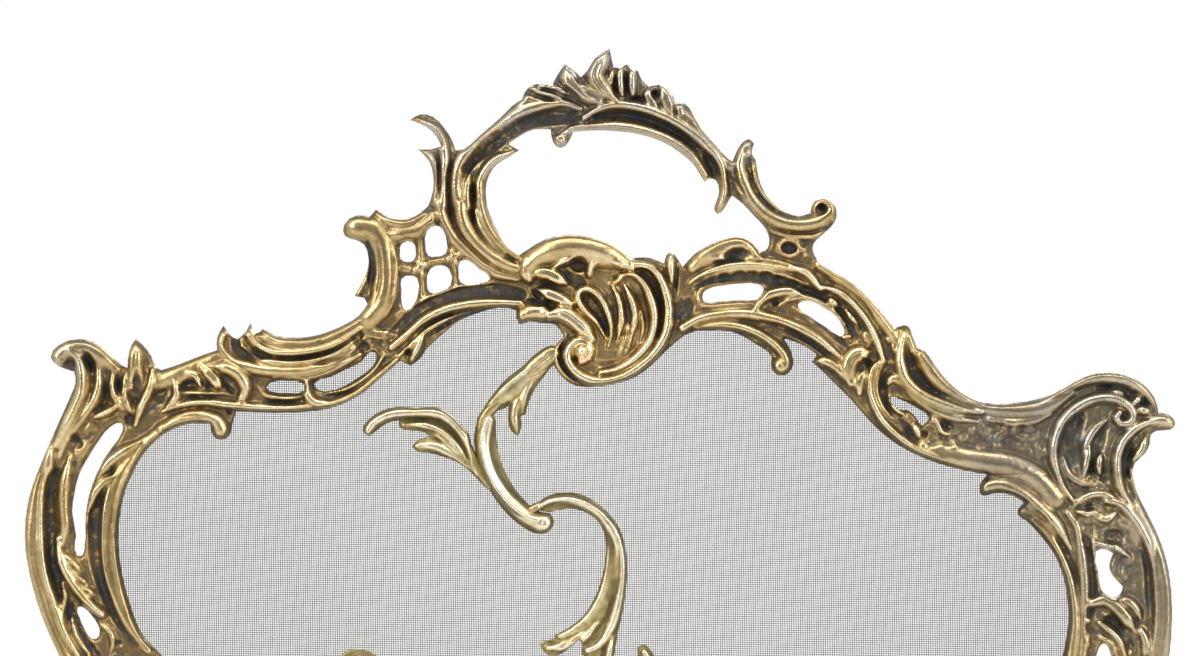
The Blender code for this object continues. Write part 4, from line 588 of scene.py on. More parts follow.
# height in mm of the plain ground between the strokes
WEB_HEIGHT = 4.5
WEB = {"trellis_scroll": 4.0, "ornament_frond": 3.4, "ornament_leaf": 2.8, "ornament_s_stem": 3.0,
       "ornament_c_stem": 2.8, "ornament_spray": 2.8}
SPREAD = {"roll": 1.2, "leaf": 1.2}  # how much wider these strokes are laid than drawn
PITCH = 0.55  # cell size in mm
COARSE = {"bottom_rail": 1.7, "left_stile": 1.3, "right_stile": 1.35, "upper_right_rail": 1.15}
SEAM_GAP = 1.3  # castings closer than this in mm share a seam
SEAM_FILL = 0.45  # how far a seam edge reaches into the gap
LEAST_HEIGHT = 1.6
CORNER_TURN = 0.7  # radians
SMALLEST_LOOP = 5  # mm; anything smaller is a screw hole
RELIEF_BACK = (-0.3, 0.25, 0.35)  # cavity, shade and rise on the flat backs

# ---------------------------------------------------------------- relief engine


def back_face(name):
    """The larger boundary loops, in mm in the front view, of the rearmost flat face of a CAD node."""
    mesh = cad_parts[name].data
    place = np.zeros(len(mesh.vertices) * 3)
    mesh.vertices.foreach_get("co", place)
    place = place.reshape(-1, 3) / MM
    corners = np.zeros(len(mesh.polygons) * 3, int)
    mesh.polygons.foreach_get("vertices", corners)
    corners = corners.reshape(-1, 3)
    _, first, same = np.unique(np.round(place * 500).astype(int), axis=0, return_index=True, return_inverse=True)
    corners = same.reshape(-1)[corners]
    place = place[first]
    rear = place[:, 1].max()
    flat = corners[(np.abs(place[corners, 1] - rear) < 0.01).all(axis=1)]
    edges = {(int(t[i]), int(t[(i + 1) % 3])) for t in flat for i in range(3)}
    follow = {}
    for a, b in edges:
        if (b, a) not in edges:
            follow.setdefault(a, []).append(b)
    loops = []
    while follow:
        start = next(iter(follow))
        loop, here = [start], start
        while True:
            ways = follow[here]
            step = ways.pop()
            if not ways:
                del follow[here]
            if step == start or step not in follow:
                break
            loop.append(step)
            here = step
        loops.append(place[loop][:, [0, 2]])
    return [loop for loop in loops if np.ptp(loop, axis=0).max() > SMALLEST_LOOP]


class Grid:
    """Square cells over some loops in the front view."""

    def __init__(self, loops, pitch):
        every = np.concatenate(loops)
        self.pitch = pitch
        self.low = every.min(0) - 3 * pitch
        nx, nz = (np.ceil((every.max(0) + 3 * pitch - self.low) / pitch)).astype(int) + 1
        self.shape = (nz, nx)
        self.x = self.low[0] + pitch * np.arange(nx)
        self.z = self.low[1] + pitch * np.arange(nz)

    def window(self, a, b, reach):
        """Rows and columns within reach of the box round two points."""
        p, low = self.pitch, self.low
        c0, r0 = (int(np.clip((min(a[i], b[i]) - reach - low[i]) / p, 0, self.shape[1 - i])) for i in (0, 1))
        c1, r1 = (int(np.clip((max(a[i], b[i]) + reach - low[i]) / p + 2, 0, self.shape[1 - i])) for i in (0, 1))
        return slice(r0, r1), slice(c0, c1)

    def to_segment(self, rows, cols, a, b):
        """Offsets from the nearest point of a segment, and how far along it that point is."""
        x, z = self.x[cols][None, :], self.z[rows][:, None]
        dx, dz = b[0] - a[0], b[1] - a[1]
        length = dx * dx + dz * dz
        t = np.clip(((x - a[0]) * dx + (z - a[1]) * dz) / max(length, 1e-9), 0, 1)
        return x - a[0] - t * dx, z - a[1] - t * dz, t

    def inside(self, loops):
        toggles = np.zeros((self.shape[0], self.shape[1] + 1), int)
        for loop in loops:
            for a, b in zip(loop, np.roll(loop, -1, axis=0)):
                low, high = (a, b) if a[1] < b[1] else (b, a)
                rows = np.nonzero((self.z >= low[1]) & (self.z < high[1]))[0]
                if len(rows):
                    cross = low[0] + (self.z[rows] - low[1]) / (high[1] - low[1]) * (high[0] - low[0])
                    cols = np.clip(np.ceil((cross - self.low[0]) / self.pitch).astype(int), 0, self.shape[1])
                    np.add.at(toggles, (rows, cols), 1)
        return np.cumsum(toggles, axis=1)[:, :-1] % 2 == 1

    def edge_distance(self, segments, reach):
        """How far the nearest segment is, and where its nearest point is."""
        far = np.full(self.shape, reach)
        near_x, near_z = np.zeros(self.shape), np.zeros(self.shape)
        for a, b in segments:
            rows, cols = self.window(a, b, reach)
            ox, oz, _ = self.to_segment(rows, cols, a, b)
            gap = np.hypot(ox, oz)
            closer = gap < far[rows, cols]
            far[rows, cols][closer] = gap[closer]
            near_x[rows, cols][closer] = (self.x[cols][None, :] - ox)[closer]
            near_z[rows, cols][closer] = (self.z[rows][:, None] - oz)[closer]
        return far, near_x, near_z


def smooth_line(points, step):
    """A Catmull-Rom line through the points."""
    known = np.array([points[0], *points, points[-1]], float)
    made = []
    for i in range(1, len(known) - 2):
        p0, p1, p2, p3 = known[i - 1:i + 3]
        count = max(1, int(np.hypot(*(p2 - p1)) / step))
        t = np.linspace(0, 1, count, endpoint=False)[:, None]
        made.append(0.5 * (2 * p1 + (p2 - p0) * t + (2 * p0 - 5 * p1 + 4 * p2 - p3) * t ** 2
                           + (3 * p1 - p0 - 3 * p2 + p3) * t ** 3))
    return np.concatenate(made + [known[-1:]])


def ease(t):
    t = np.clip(t, 0, 1)
    return t * t * (3 - 2 * t)


LATTICE = np.random.default_rng(11).random((512, 512)) - 0.5


def lumps(x, z, cell):
    """Smooth seeded noise from -0.5 to 0.5 with lumps of that size in mm."""
    u, v = (x / cell) % 511, (z / cell) % 511
    i, j = u.astype(int), v.astype(int)
    fu, fv = ease(u - i), ease(v - j)
    low = LATTICE[j, i] * (1 - fu) + LATTICE[j, i + 1] * fu
    high = LATTICE[j + 1, i] * (1 - fu) + LATTICE[j + 1, i + 1] * fu
    return low * (1 - fv) + high * fv


def lay_stroke(grid, height, dark, stroke, level):
    """Raise, cut or roughen the height along one stroke, and darken its flanks."""
    kind, width, base, gain, (first, last), points = stroke
    width *= SPREAD.get(kind, 1)
    line = smooth_line(points, 2.0)
    along = np.concatenate([[0], np.cumsum(np.hypot(*np.diff(line, axis=0).T))])
    along /= max(along[-1], 1e-6)
    half = width * (first + (1 - first) * ease(along / 0.3)) * (last + (1 - last) * ease((1 - along) / 0.3))
    rows, cols = grid.window(line.min(0), line.max(0), width)
    if rows.start >= rows.stop or cols.start >= cols.stop:
        return
    nearest = np.full((rows.stop - rows.start, cols.stop - cols.start), 9.0)
    local = np.zeros(nearest.shape)
    for i in range(len(line) - 1):
        a, b = line[i], line[i + 1]
        wr, wc = grid.window(a, b, width)
        if wr.start >= wr.stop or wc.start >= wc.stop:
            continue
        ox, oz, t = grid.to_segment(wr, wc, a, b)
        wide = half[i] + t * (half[i + 1] - half[i])
        share = np.hypot(ox, oz) / wide
        at = (slice(wr.start - rows.start, wr.stop - rows.start),
              slice(wc.start - cols.start, wc.stop - cols.start))
        closer = share < nearest[at]
        nearest[at][closer] = share[closer]
        local[at][closer] = wide[closer]
    on = nearest < 1
    u = nearest[on]
    size = local[on]
    dome = np.sqrt(1 - u * u)
    swell = level + (base + gain * size * 0.85 - level) * (1 - u * u) ** 0.7
    part = height[rows, cols]
    shade = dark[rows, cols]
    if kind == "roll":
        part[on] = np.maximum(part[on], swell)
        shade[on] *= 1 - 0.85 * ease(2.2 * (1 - u))
    elif kind == "leaf":
        part[on] = np.maximum(part[on], swell - 0.26 * gain * size * np.exp(-(u / 0.2) ** 2))
        shade[on] *= 1 - 0.85 * ease(2.2 * (1 - u))
    elif kind == "bead":
        part[on] += gain * (size / width) * dome
        shade[on] *= 1 - 0.9 * ease(2 * (1 - u))
    elif kind == "rock":
        x, z = np.broadcast_arrays(grid.x[cols][None, :], grid.z[rows][:, None])
        x, z = x[on], z[on]
        rough = np.abs(lumps(x, z, 5.2)) + 0.6 * np.abs(lumps(x + 90, z, 2.4)) - 0.24
        part[on] += 3.2 * gain * rough * ease(2.5 * (1 - u))
        shade[on] = np.maximum(shade[on], 0.8 * ease(-4 * rough + 0.3) * ease(2.5 * (1 - u)))
    else:
        part[on] -= gain * (size / width) * (1 - u * u)
        shade[on] = np.maximum(shade[on], min(1, gain / 4.0) * ease(1.7 * (1 - u)))


def box_average(data, cells):
    """Box average, once each way."""
    for axis in (0, 1):
        pad = [(0, 0), (0, 0)]
        pad[axis] = (cells + 1, cells)
        summed = np.cumsum(np.pad(data, pad), axis=axis)
        count = data.shape[axis]
        top = np.take(summed, range(2 * cells + 1, 2 * cells + 1 + count), axis=axis)
        data = (top - np.take(summed, range(count), axis=axis)) / (2 * cells + 1)
    return data


def blur(field, mask, cells):
    """Masked box average, twice over."""
    cells = max(1, int(round(cells)))
    total, weight = field * mask, mask.astype(float)
    for _ in range(2):
        total, weight = box_average(total, cells), box_average(weight, cells)
    return total / np.maximum(weight, 1e-6)


def quad_mesh(name, points, quads):
    mesh = bpy.data.meshes.new(name)
    mesh.vertices.add(len(points))
    mesh.vertices.foreach_set("co", (points * MM).astype(np.float32).ravel())
    mesh.loops.add(4 * len(quads))
    mesh.loops.foreach_set("vertex_index", np.asarray(quads, np.int32).ravel())
    mesh.polygons.add(len(quads))
    mesh.polygons.foreach_set("loop_start", np.arange(0, 4 * len(quads), 4, dtype=np.int32))
    mesh.update(calc_edges=True)
    mesh.validate()
    return mesh


def shade_smooth(mesh, sharp):
    mesh.polygons.foreach_set("use_smooth", [True] * len(mesh.polygons))
    mesh.set_sharp_from_angle(angle=sharp)
    return mesh


def set_attribute(mesh, name, values):
    layer = mesh.attributes.new(name, "FLOAT", "POINT")
    layer.data.foreach_set("value", np.asarray(values, np.float32))


def corner_points(loop):
    """The points at which a loop turns sharply."""
    before = loop - np.roll(loop, 1, axis=0)
    after = np.roll(loop, -1, axis=0) - loop
    turn = np.arctan2(before[:, 0] * after[:, 1] - before[:, 1] * after[:, 0], (before * after).sum(1))
    return loop[np.abs(turn) > CORNER_TURN]


def segments_of(loops):
    return [(a, b) for loop in loops for a, b in zip(loop, np.roll(loop, -1, axis=0))]


def split_seams(segments, others):
    """The free edges, and those that lie against a neighbouring casting."""
    if not others:
        return segments, []
    a, b = (np.array([pair[i] for pair in others]) for i in (0, 1))
    free, seams = [], []
    for pair in segments:
        middle = (pair[0] + pair[1]) / 2
        t = np.clip(((middle - a) * (b - a)).sum(1) / np.maximum(((b - a) ** 2).sum(1), 1e-9), 0, 1)
        gap = np.hypot(*(middle - a - t[:, None] * (b - a)).T).min()
        (seams if gap < SEAM_GAP else free).append(pair)
    return free, seams


def carve(loops, strokes, pitch, web, others=(), wall=1.8, round_off=3.0):
    """A sculpted sheet over an outline: its points, heights, finish values, cells and border."""
    grid = Grid(loops, pitch)
    inside = grid.inside(loops)
    free, seams = split_seams(segments_of(loops), others)
    reach = max(9.0, round_off + 1)
    gap, near_x, near_z = grid.edge_distance(free + seams, reach)
    open_gap = grid.edge_distance(free, reach)[0] if seams else gap
    core = inside & (gap > 0.35 * pitch)
    height = np.full(grid.shape, float(web))
    dark = np.zeros(grid.shape)
    for stroke in strokes:
        lay_stroke(grid, height, dark, stroke, web - 0.9)
    x, z = np.broadcast_arrays(grid.x[None, :], grid.z[:, None])
    height += 0.35 * lumps(x, z, 9.0) + 0.22 * lumps(x, z + 50, 3.5)
    height = np.maximum(height, LEAST_HEIGHT)
    near = inside | (gap < 3 * pitch)
    height = blur(height, near, 0.45 / pitch) if pitch < 1 else height
    cavity = (height - blur(height, inside, 1.6 / pitch)) * 0.5 + (height - blur(height, inside, 4.0 / pitch)) * 0.3
    rise = ease((height - web) / 3.6)
    wall = np.minimum(wall, height)
    rounding = np.sqrt(np.clip(1 - (1 - np.clip(open_gap / round_off, 0, 1)) ** 2, 0, 1))
    height = wall + (height - wall) * np.where(inside | (open_gap > gap), rounding, 0)
    # cells with at least one corner well inside; their outer corners move onto the outline
    cell = core[:-1, :-1] | core[1:, :-1] | core[:-1, 1:] | core[1:, 1:]
    used = np.zeros(grid.shape, bool)
    for r in (0, 1):
        for c in (0, 1):
            used[r:grid.shape[0] - 1 + r, c:grid.shape[1] - 1 + c] |= cell
    index = np.full(grid.shape, -1)
    index[used] = np.arange(used.sum())
    push = np.where(open_gap > gap + 0.01, SEAM_FILL, 0) * np.where(inside, -1, 1) / np.maximum(gap, 0.05)
    flat = np.stack([np.where(core, x, near_x + (x - near_x) * push)[used],
                     np.where(core, z, near_z + (z - near_z) * push)[used]], axis=1)
    rim = np.nonzero(~core[used])[0]
    for loop in loops:
        for point in corner_points(loop):
            away = np.hypot(*(flat[rim] - point).T)
            if away.min() < 1.6 * pitch:
                flat[rim[away.argmin()]] = point
    rows, cols = np.nonzero(cell)
    quads = np.stack([index[rows + r, cols + c] for r, c in ((0, 0), (0, 1), (1, 1), (1, 0))], axis=1)
    pairs = set(map(tuple, np.concatenate([quads[:, [i, (i + 1) % 4]] for i in range(4)]).tolist()))
    border = np.array([pair for pair in sorted(pairs) if pair[::-1] not in pairs])
    return flat, height[used], (cavity[used], dark[used], rise[used]), quads, border


def closed_mesh(name, front, back, quads, border, finish, back_finish):
    """Two sheets with the same cells, joined by walls round their border."""
    count = len(front)
    walls = np.stack([border[:, 1], border[:, 0], count + border[:, 0], count + border[:, 1]], axis=1)
    mesh = quad_mesh(name, np.concatenate([front, back]), np.concatenate([quads, quads[:, ::-1] + count, walls]))
    for label, here, behind in zip(("cavity", "shade", "rise"), finish, back_finish):
        set_attribute(mesh, label, np.concatenate([here, np.broadcast_to(behind, count)]))
    return shade_smooth(mesh, 1.0)


def relief(name, loops, strokes, others=()):
    """The sculpted front, side walls and flat back of one casting."""
    flat, height, finish, quads, border = carve(loops, strokes, PITCH * COARSE.get(name, 1),
                                                WEB.get(name, WEB_HEIGHT), others)
    front = np.stack([flat[:, 0], BACK_Y - height, flat[:, 1]], axis=1)
    back = np.stack([flat[:, 0], np.full(len(flat), BACK_Y), flat[:, 1]], axis=1)
    return closed_mesh(name + "_relief", front, back, quads, border, finish, RELIEF_BACK)


def carved_leg(name, x, outline, strokes, half, taper, root):
    """A leg drawn from the side: both cheeks are sculpted alike and it narrows towards the ankle."""
    loop = smooth_line(outline + outline[:1], 3.0)[:-1]
    beside = [(np.array(root[0], float), np.array(root[1], float))]
    flat, height, finish, quads, border = carve([loop], strokes, 1.0, half * 0.8, beside, 1.0, half * 0.85)
    height = height * np.interp(flat[:, 1], *zip(*taper))
    front = np.stack([x + height, flat[:, 0], flat[:, 1]], axis=1)
    back = np.stack([x - height, flat[:, 0], flat[:, 1]], axis=1)
    return closed_mesh(name, front, back, quads, border, finish, finish)


def turned(name, x, y, profile, sides=48):
    """A ring turned about a vertical axis from a closed profile of (radius, height)."""
    around = np.linspace(0, 2 * math.pi, sides, endpoint=False)
    rings = np.array([[(x + r * math.cos(t), y + r * math.sin(t), z) for t in around] for r, z in profile])
    count = len(profile)
    quads = [[i * sides + j, i * sides + (j + 1) % sides, (i + 1) % count * sides + (j + 1) % sides,
              (i + 1) % count * sides + j] for i in range(count) for j in range(sides)]
    return shade_smooth(quad_mesh(name, rings.reshape(-1, 3), quads), 0.7)


def plate(name, outline, y_front, y_back, bevel=0.9):
    """A flat plate drawn from the front, with softened edges."""
    solid = bmesh.new()
    face = solid.faces.new([solid.verts.new((x * MM, y_back * MM, z * MM)) for x, z in outline])
    made = bmesh.ops.extrude_face_region(solid, geom=[face])["geom"]
    bmesh.ops.translate(solid, vec=(0, (y_front - y_back) * MM, 0),
                        verts=[v for v in made if isinstance(v, bmesh.types.BMVert)])
    bmesh.ops.recalc_face_normals(solid, faces=solid.faces[:])
    bmesh.ops.bevel(solid, geom=solid.edges[:], offset=bevel * MM, segments=3, affect="EDGES", profile=0.6)
    # points and faces in sorted order, because the bevel leaves them in a different order each run
    solid.verts.index_update()
    points = [tuple(round(c, 7) for c in v.co) for v in solid.verts]
    order = sorted(range(len(points)), key=points.__getitem__)
    rank = {old: new for new, old in enumerate(order)}
    rings = [[rank[v.index] for v in face.verts] for face in solid.faces]
    solid.free()
    starts = [ring.index(min(ring)) for ring in rings]
    mesh = bpy.data.meshes.new(name)
    mesh.from_pydata([points[i] for i in order], [], sorted(r[i:] + r[:i] for r, i in zip(rings, starts)))
    return shade_smooth(mesh, 0.7)


def ribbon(points, half):
    """The outline of a strip that follows a line, with rounded ends."""
    line = smooth_line(points, 1.5)
    run = np.gradient(line, axis=0)
    run /= np.hypot(*run.T)[:, None]
    side = np.stack([-run[:, 1], run[:, 0]], axis=1)
    t = np.linspace(0, 1, len(line))
    wide = half * np.sqrt(np.clip(1 - np.abs(2 * t - 1) ** 2.6, 0.02, 1))[:, None]
    return np.concatenate([line + side * wide, (line - side * wide)[::-1]])


def add_piece(name, mesh, material, body, slot, *stands_for):
    piece = bpy.data.objects.new(name, mesh)
    bpy.context.scene.collection.objects.link(piece)
    mesh.materials.append(material)
    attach(piece, body)
    if stands_for:
        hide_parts(*stands_for)


# ---------------------------------------------------------------- materials


class Nodes:
    """Short ways to build a node tree."""

    def __init__(self, name):
        self.material = bpy.data.materials.new(name)
        self.material.use_nodes = True
        self.tree = self.material.node_tree
        self.shader = self.tree.nodes["Principled BSDF"]

    def add(self, kind, **settings):
        node = self.tree.nodes.new("ShaderNode" + kind)
        for key, value in settings.items():
            setattr(node, key, value)
        return node

    def feed(self, socket, value):
        if isinstance(value, bpy.types.NodeSocket):
            self.tree.links.new(value, socket)
        else:
            socket.default_value = value

    def math(self, operation, a, b=0.0):
        node = self.add("Math", operation=operation)
        self.feed(node.inputs[0], a)
        self.feed(node.inputs[1], b)
        return node.outputs[0]

    def plus(self, a, b):
        return self.math("ADD", a, b)

    def minus(self, a, b):
        return self.math("SUBTRACT", a, b)

    def times(self, a, b):
        return self.math("MULTIPLY", a, b)

    def most(self, a, b):
        return self.math("MAXIMUM", a, b)

    def attribute(self, name):
        return self.add("Attribute", attribute_name=name).outputs["Fac"]

    def place(self):
        return self.add("TexCoord").outputs["Object"]

    def noise(self, scale, detail, roughness=0.55):
        node = self.add("TexNoise")
        self.feed(node.inputs["Vector"], self.place())
        for key, value in (("Scale", scale), ("Detail", detail), ("Roughness", roughness)):
            node.inputs[key].default_value = value
        return node.outputs["Fac"]

    def ramp(self, factor, stops):
        node = self.add("ValToRGB")
        elements = node.color_ramp.elements
        while len(elements) < len(stops):
            elements.new(0.5)
        for element, (at, colour) in zip(elements, stops):
            element.position = at
            element.color = (*colour, 1)
        self.feed(node.inputs["Fac"], factor)
        return node.outputs["Color"]

    def mix(self, factor, a, b):
        node = self.add("Mix", data_type="RGBA")
        self.feed(node.inputs[0], factor)
        self.feed(node.inputs[6], a)
        self.feed(node.inputs[7], b if isinstance(b, bpy.types.NodeSocket) else (*b, 1))
        return node.outputs[2]

    def scale(self, value, low, high, new_low=0.0, new_high=1.0):
        node = self.add("MapRange")
        for socket, number in zip(node.inputs, (value, low, high, new_low, new_high)):
            self.feed(socket, number)
        return node.outputs[0]

    def bump(self, height, strength, distance):
        node = self.add("Bump")
        node.inputs["Strength"].default_value = strength
        node.inputs["Distance"].default_value = distance
        self.feed(node.inputs["Height"], height)
        self.feed(self.shader.inputs["Normal"], node.outputs[0])


def spot(nodes, x, z, radius, soft):
    """1 near a front view point in mm, 0 away from it."""
    split = nodes.add("SeparateXYZ")
    nodes.feed(split.inputs[0], nodes.place())
    dx = nodes.minus(split.outputs["X"], x * MM)
    dz = nodes.minus(split.outputs["Z"], z * MM)
    gap = nodes.math("SQRT", nodes.plus(nodes.times(dx, dx), nodes.times(dz, dz)))
    return nodes.scale(gap, radius * MM, (radius + soft) * MM, 1, 0)


def brass(name, pale=False):
    """Antique brass: near-black patina in the hollows, brown flanks, bright rubbed ridges."""
    n = Nodes(name)
    cavity, shade, rise = n.attribute("cavity"), n.attribute("shade"), n.attribute("rise")
    cloud, grain, fine = n.noise(38, 5, 0.6), n.noise(260, 4, 0.6), n.noise(900, 3, 0.6)
    worn = n.plus(n.scale(cavity, -1.5, 1.9, 0, 0.72), n.times(n.minus(cloud, 0.5), 0.55))
    worn = n.plus(worn, n.times(n.minus(grain, 0.5), 0.40))
    worn = n.plus(worn, n.scale(rise, 0, 1, 0.06 if pale else 0.08, 0.28))
    worn = n.minus(worn, n.times(shade, 0.12 if pale else 0.24))
    if not pale:
        patch = n.scale(n.noise(120, 5, 0.65), 0.42, 0.66)
        worn = n.plus(worn, n.times(patch, n.scale(worn, 0.02, 0.45, 0.30, 0.0)))
        worn = n.plus(worn, n.times(spot(n, 4, 600, 28, 26), 0.15))
        fleck = n.times(n.scale(n.noise(300, 2, 0.5), 0.53, 0.59), n.scale(n.noise(52, 3, 0.5), 0.44, 0.52))
        worn = n.plus(worn, n.times(fleck, n.scale(worn, 0.1, 0.6, 0.36, 0.0)))
        stops = [(0.06, (0.030, 0.030, 0.029)), (0.24, (0.090, 0.070, 0.044)), (0.38, (0.21, 0.145, 0.065)),
                 (0.55, (0.40, 0.285, 0.125)), (0.74, (0.60, 0.455, 0.235)), (0.95, (0.80, 0.69, 0.47))]
    else:
        stops = [(0.10, (0.075, 0.06, 0.025)), (0.30, (0.22, 0.17, 0.065)), (0.44, (0.50, 0.395, 0.19)),
                 (0.58, (0.70, 0.585, 0.36)), (0.80, (0.88, 0.79, 0.60))]
    colour = n.ramp(worn, stops)
    if not pale:
        split = n.add("SeparateXYZ")
        n.feed(split.inputs[0], n.place())
        # greyer silvery tone over the top band of the screen: partly the crest's own pewter tone, partly a painted
        # reflection of the white surroundings on upward-facing surfaces; the side and left spots below are real
        # tarnish
        high = n.scale(split.outputs["Z"], 0.65, 0.715)
        silver_tone_and_painted_reflection = n.times(high, n.scale(cloud, 0.30, 0.52))
        tarnish = spot(n, 285, 540, 40, 50)
        stile = spot(n, 350, 450, 25, 60)
        left = spot(n, -335, 580, 10, 30)
        side = n.most(tarnish, stile)
        silver_tone_and_painted_reflection = n.most(silver_tone_and_painted_reflection, n.times(side, n.scale(cloud, 0.3, 0.6, 0.55, 1)))
        silver_tone_and_painted_reflection = n.most(silver_tone_and_painted_reflection, n.times(left, 0.5))
        grey = n.ramp(worn, [(0.05, (0.020, 0.022, 0.024)), (0.3, (0.11, 0.092, 0.07)), (0.52, (0.30, 0.26, 0.20)),
                              (0.9, (0.54, 0.50, 0.43))])
        silver_tone_and_painted_reflection = n.times(silver_tone_and_painted_reflection, n.scale(fleck, 0, 1, 0.92, 0.25))
        colour = n.mix(silver_tone_and_painted_reflection, colour, grey)
        teal = n.times(tarnish, n.scale(n.noise(120, 3, 0.5), 0.60, 0.68))
        colour = n.mix(n.times(teal, 0.6), colour, (0.09, 0.16, 0.13))
        green = n.times(side, n.scale(n.noise(55, 4, 0.6), 0.45, 0.7))
        colour = n.mix(n.times(green, 0.35), colour, (0.16, 0.17, 0.10))
    else:
        olive = n.scale(n.noise(95, 4, 0.6), 0.52, 0.68)
        colour = n.mix(n.times(olive, 0.42), colour, (0.25, 0.21, 0.08))
    n.feed(n.shader.inputs["Base Color"], colour)
    n.feed(n.shader.inputs["Metallic"], n.scale(worn, 0.15, 0.42, 0.2, 1.0))
    rough = n.scale(worn, 0.1, 0.8, 0.52, 0.25)
    n.feed(n.shader.inputs["Roughness"], n.plus(rough, n.times(n.minus(cloud, 0.5), 0.25)))
    bumps = n.plus(n.times(grain, 0.6), n.times(fine, 0.25))
    n.bump(bumps, 0.35, 0.0012)
    return n.material


def plain_metal(name, dark, light, rough, scale=60.0):
    """A turned or rolled brass part with a rubbed, cloudy finish."""
    n = Nodes(name)
    cloud, grain = n.noise(scale, 4, 0.6), n.noise(scale * 9, 3, 0.6)
    tone = n.plus(cloud, n.times(n.minus(grain, 0.5), 0.5))
    colour = n.ramp(tone, [(0.3, dark), (0.68, light)])
    n.feed(n.shader.inputs["Base Color"], colour)
    n.shader.inputs["Metallic"].default_value = 1.0
    n.feed(n.shader.inputs["Roughness"], n.scale(cloud, 0.3, 0.7, rough + 0.14, rough - 0.06))
    n.bump(grain, 0.15, 0.0006)
    return n.material


def wire_metal():
    """Dark drawn wire, with duller and browner stretches."""
    n = Nodes("wire_mesh")
    cloud, fine = n.noise(14, 5, 0.6), n.noise(420, 3, 0.6)
    tone = n.plus(cloud, n.times(n.minus(fine, 0.5), 0.5))
    n.feed(n.shader.inputs["Base Color"], n.ramp(tone, [(0.28, (0.016, 0.016, 0.016)), (0.5, (0.036, 0.033, 0.029)),
                                                        (0.72, (0.075, 0.062, 0.044))]))
    n.shader.inputs["Metallic"].default_value = 0.4
    n.feed(n.shader.inputs["Roughness"], n.scale(tone, 0.3, 0.7, 0.6, 0.4))
    return n.material


CAST = brass("cast_brass")
PALE = brass("ornament_brass", pale=True)
STRIP = plain_metal("backing_brass", (0.16, 0.11, 0.05), (0.42, 0.31, 0.15), 0.42)
SCREW = plain_metal("screw_brass", (0.22, 0.16, 0.07), (0.60, 0.46, 0.24), 0.34, 200.0)
HINGE = plain_metal("hinge_brass", (0.20, 0.14, 0.06), (0.55, 0.41, 0.20), 0.36)
WIRE = wire_metal()

# ---------------------------------------------------------------- castings

OUTLINES = {node: back_face(node) for node in RELIEF}
CASTINGS = [node for node in RELIEF if not node.startswith("ornament")]
SHARED = [stroke for node in CASTINGS for stroke in RELIEF[node]]
for node in RELIEF:
    if node in CASTINGS:
        beside = [pair for other in CASTINGS if other != node for pair in segments_of(OUTLINES[other])]
        mesh = relief(node, OUTLINES[node], SHARED, beside)
        add_piece(node + "_relief", mesh, CAST, "screen_frame", "cast_brass", node)
    else:
        mesh = relief(node, OUTLINES[node], RELIEF[node])
        add_piece(node + "_relief", mesh, PALE, "screen_frame", "ornament_brass", node)

# small cast collars that cover the places where the ornaments on the wire panel meet
COLLARS = {
    "collar_frond": (3.9, [(-61, 548.5), (-68, 543.5), (-73.5, 536), (-75.5, 527)]),
    "collar_leaf": (3.0, [(-85, 525), (-80.5, 513), (-74.5, 501), (-68, 492)]),
    "collar_c_stem": (2.9, [(-47, 478), (-41, 480.5), (-34, 484)]),
    "collar_shell": (6.4, [(-48, 563), (-38, 571.5), (-26, 581)]),
    "collar_spray": (3.4, [(3, 372), (1, 362), (0, 352)]),
}
for node, (half, line) in COLLARS.items():
    mesh = relief(node, [ribbon(line, half)], [roll(half, line, 4.0, 0.45, 0.8, 0.8), groove(0.8, line, 0.9)])
    add_piece(node, mesh, PALE, "screen_frame", "ornament_brass")

# ---------------------------------------------------------------- feet

FRONT_LEG = [(-0.5, 137), (1.5, 124), (1, 112), (-3, 98), (-11, 83), (-20, 68), (-32, 54), (-44, 43), (-55, 33.5),
             (-64, 25), (-70, 17), (-73, 8), (-74, 1.2), (-80, 0), (-98, 0), (-104, 1.5), (-106, 6), (-103.5, 12),
             (-97, 19), (-88, 28), (-76, 41), (-62, 55), (-51, 69), (-42, 84), (-33, 99), (-26, 112), (-20, 124),
             (-14, 132), (-7, 136)]
REAR_LEG = [(20, 166.5), (28, 166.5), (36, 164.5), (46, 160), (55, 152), (63, 141), (69, 129), (75, 114), (80, 99),
            (84, 82), (87, 66), (89, 50), (91, 35), (94, 24), (99, 15), (104, 9), (106, 4), (104, 0.6), (98, 0),
            (82, 0), (76, 0.8), (75, 6), (77, 13), (79, 24), (79, 36), (77, 48), (73, 64), (68, 82), (62, 99),
            (56, 116), (50, 130), (43, 141), (36, 149), (28, 152), (20, 152)]
FRONT_CARVING = [
    leaf(6.4, [(-9, 132), (-14, 112), (-25, 90), (-42, 66)], 8.4, 0.26, 0.8, 0.15),
    roll(2.8, [(-2, 122), (-6, 104), (-17, 82), (-36, 57), (-57, 38), (-70, 24)], 8.2, 0.3, 0.4, 0.6),
    roll(2.8, [(-19, 120), (-29, 102), (-43, 80), (-60, 60), (-78, 42), (-92, 27)], 8.2, 0.3, 0.4, 0.6),
    leaf(4.4, [(-78, 24), (-68, 34), (-54, 48)], 8.2, 0.3, 0.6, 0.15),
    groove(1.6, [(-22, 98), (-34, 80), (-48, 62)], 1.6), groove(1.3, [(-9, 122), (-12, 106), (-20, 92)], 1.2),
    groove(1.2, [(-14, 124), (-20, 108), (-30, 92)], 1.2), groove(1.5, [(-76, 8), (-88, 9.5), (-101, 8)], 1.8),
    roll(4.6, [(-79, 5), (-90, 5), (-100, 4)], 8.4, 0.3, 0.7, 0.7), ball(-88, 18, 4.6, 8.4, 0.4),
    pit(-88, 18, 1.6, 1.4),
]
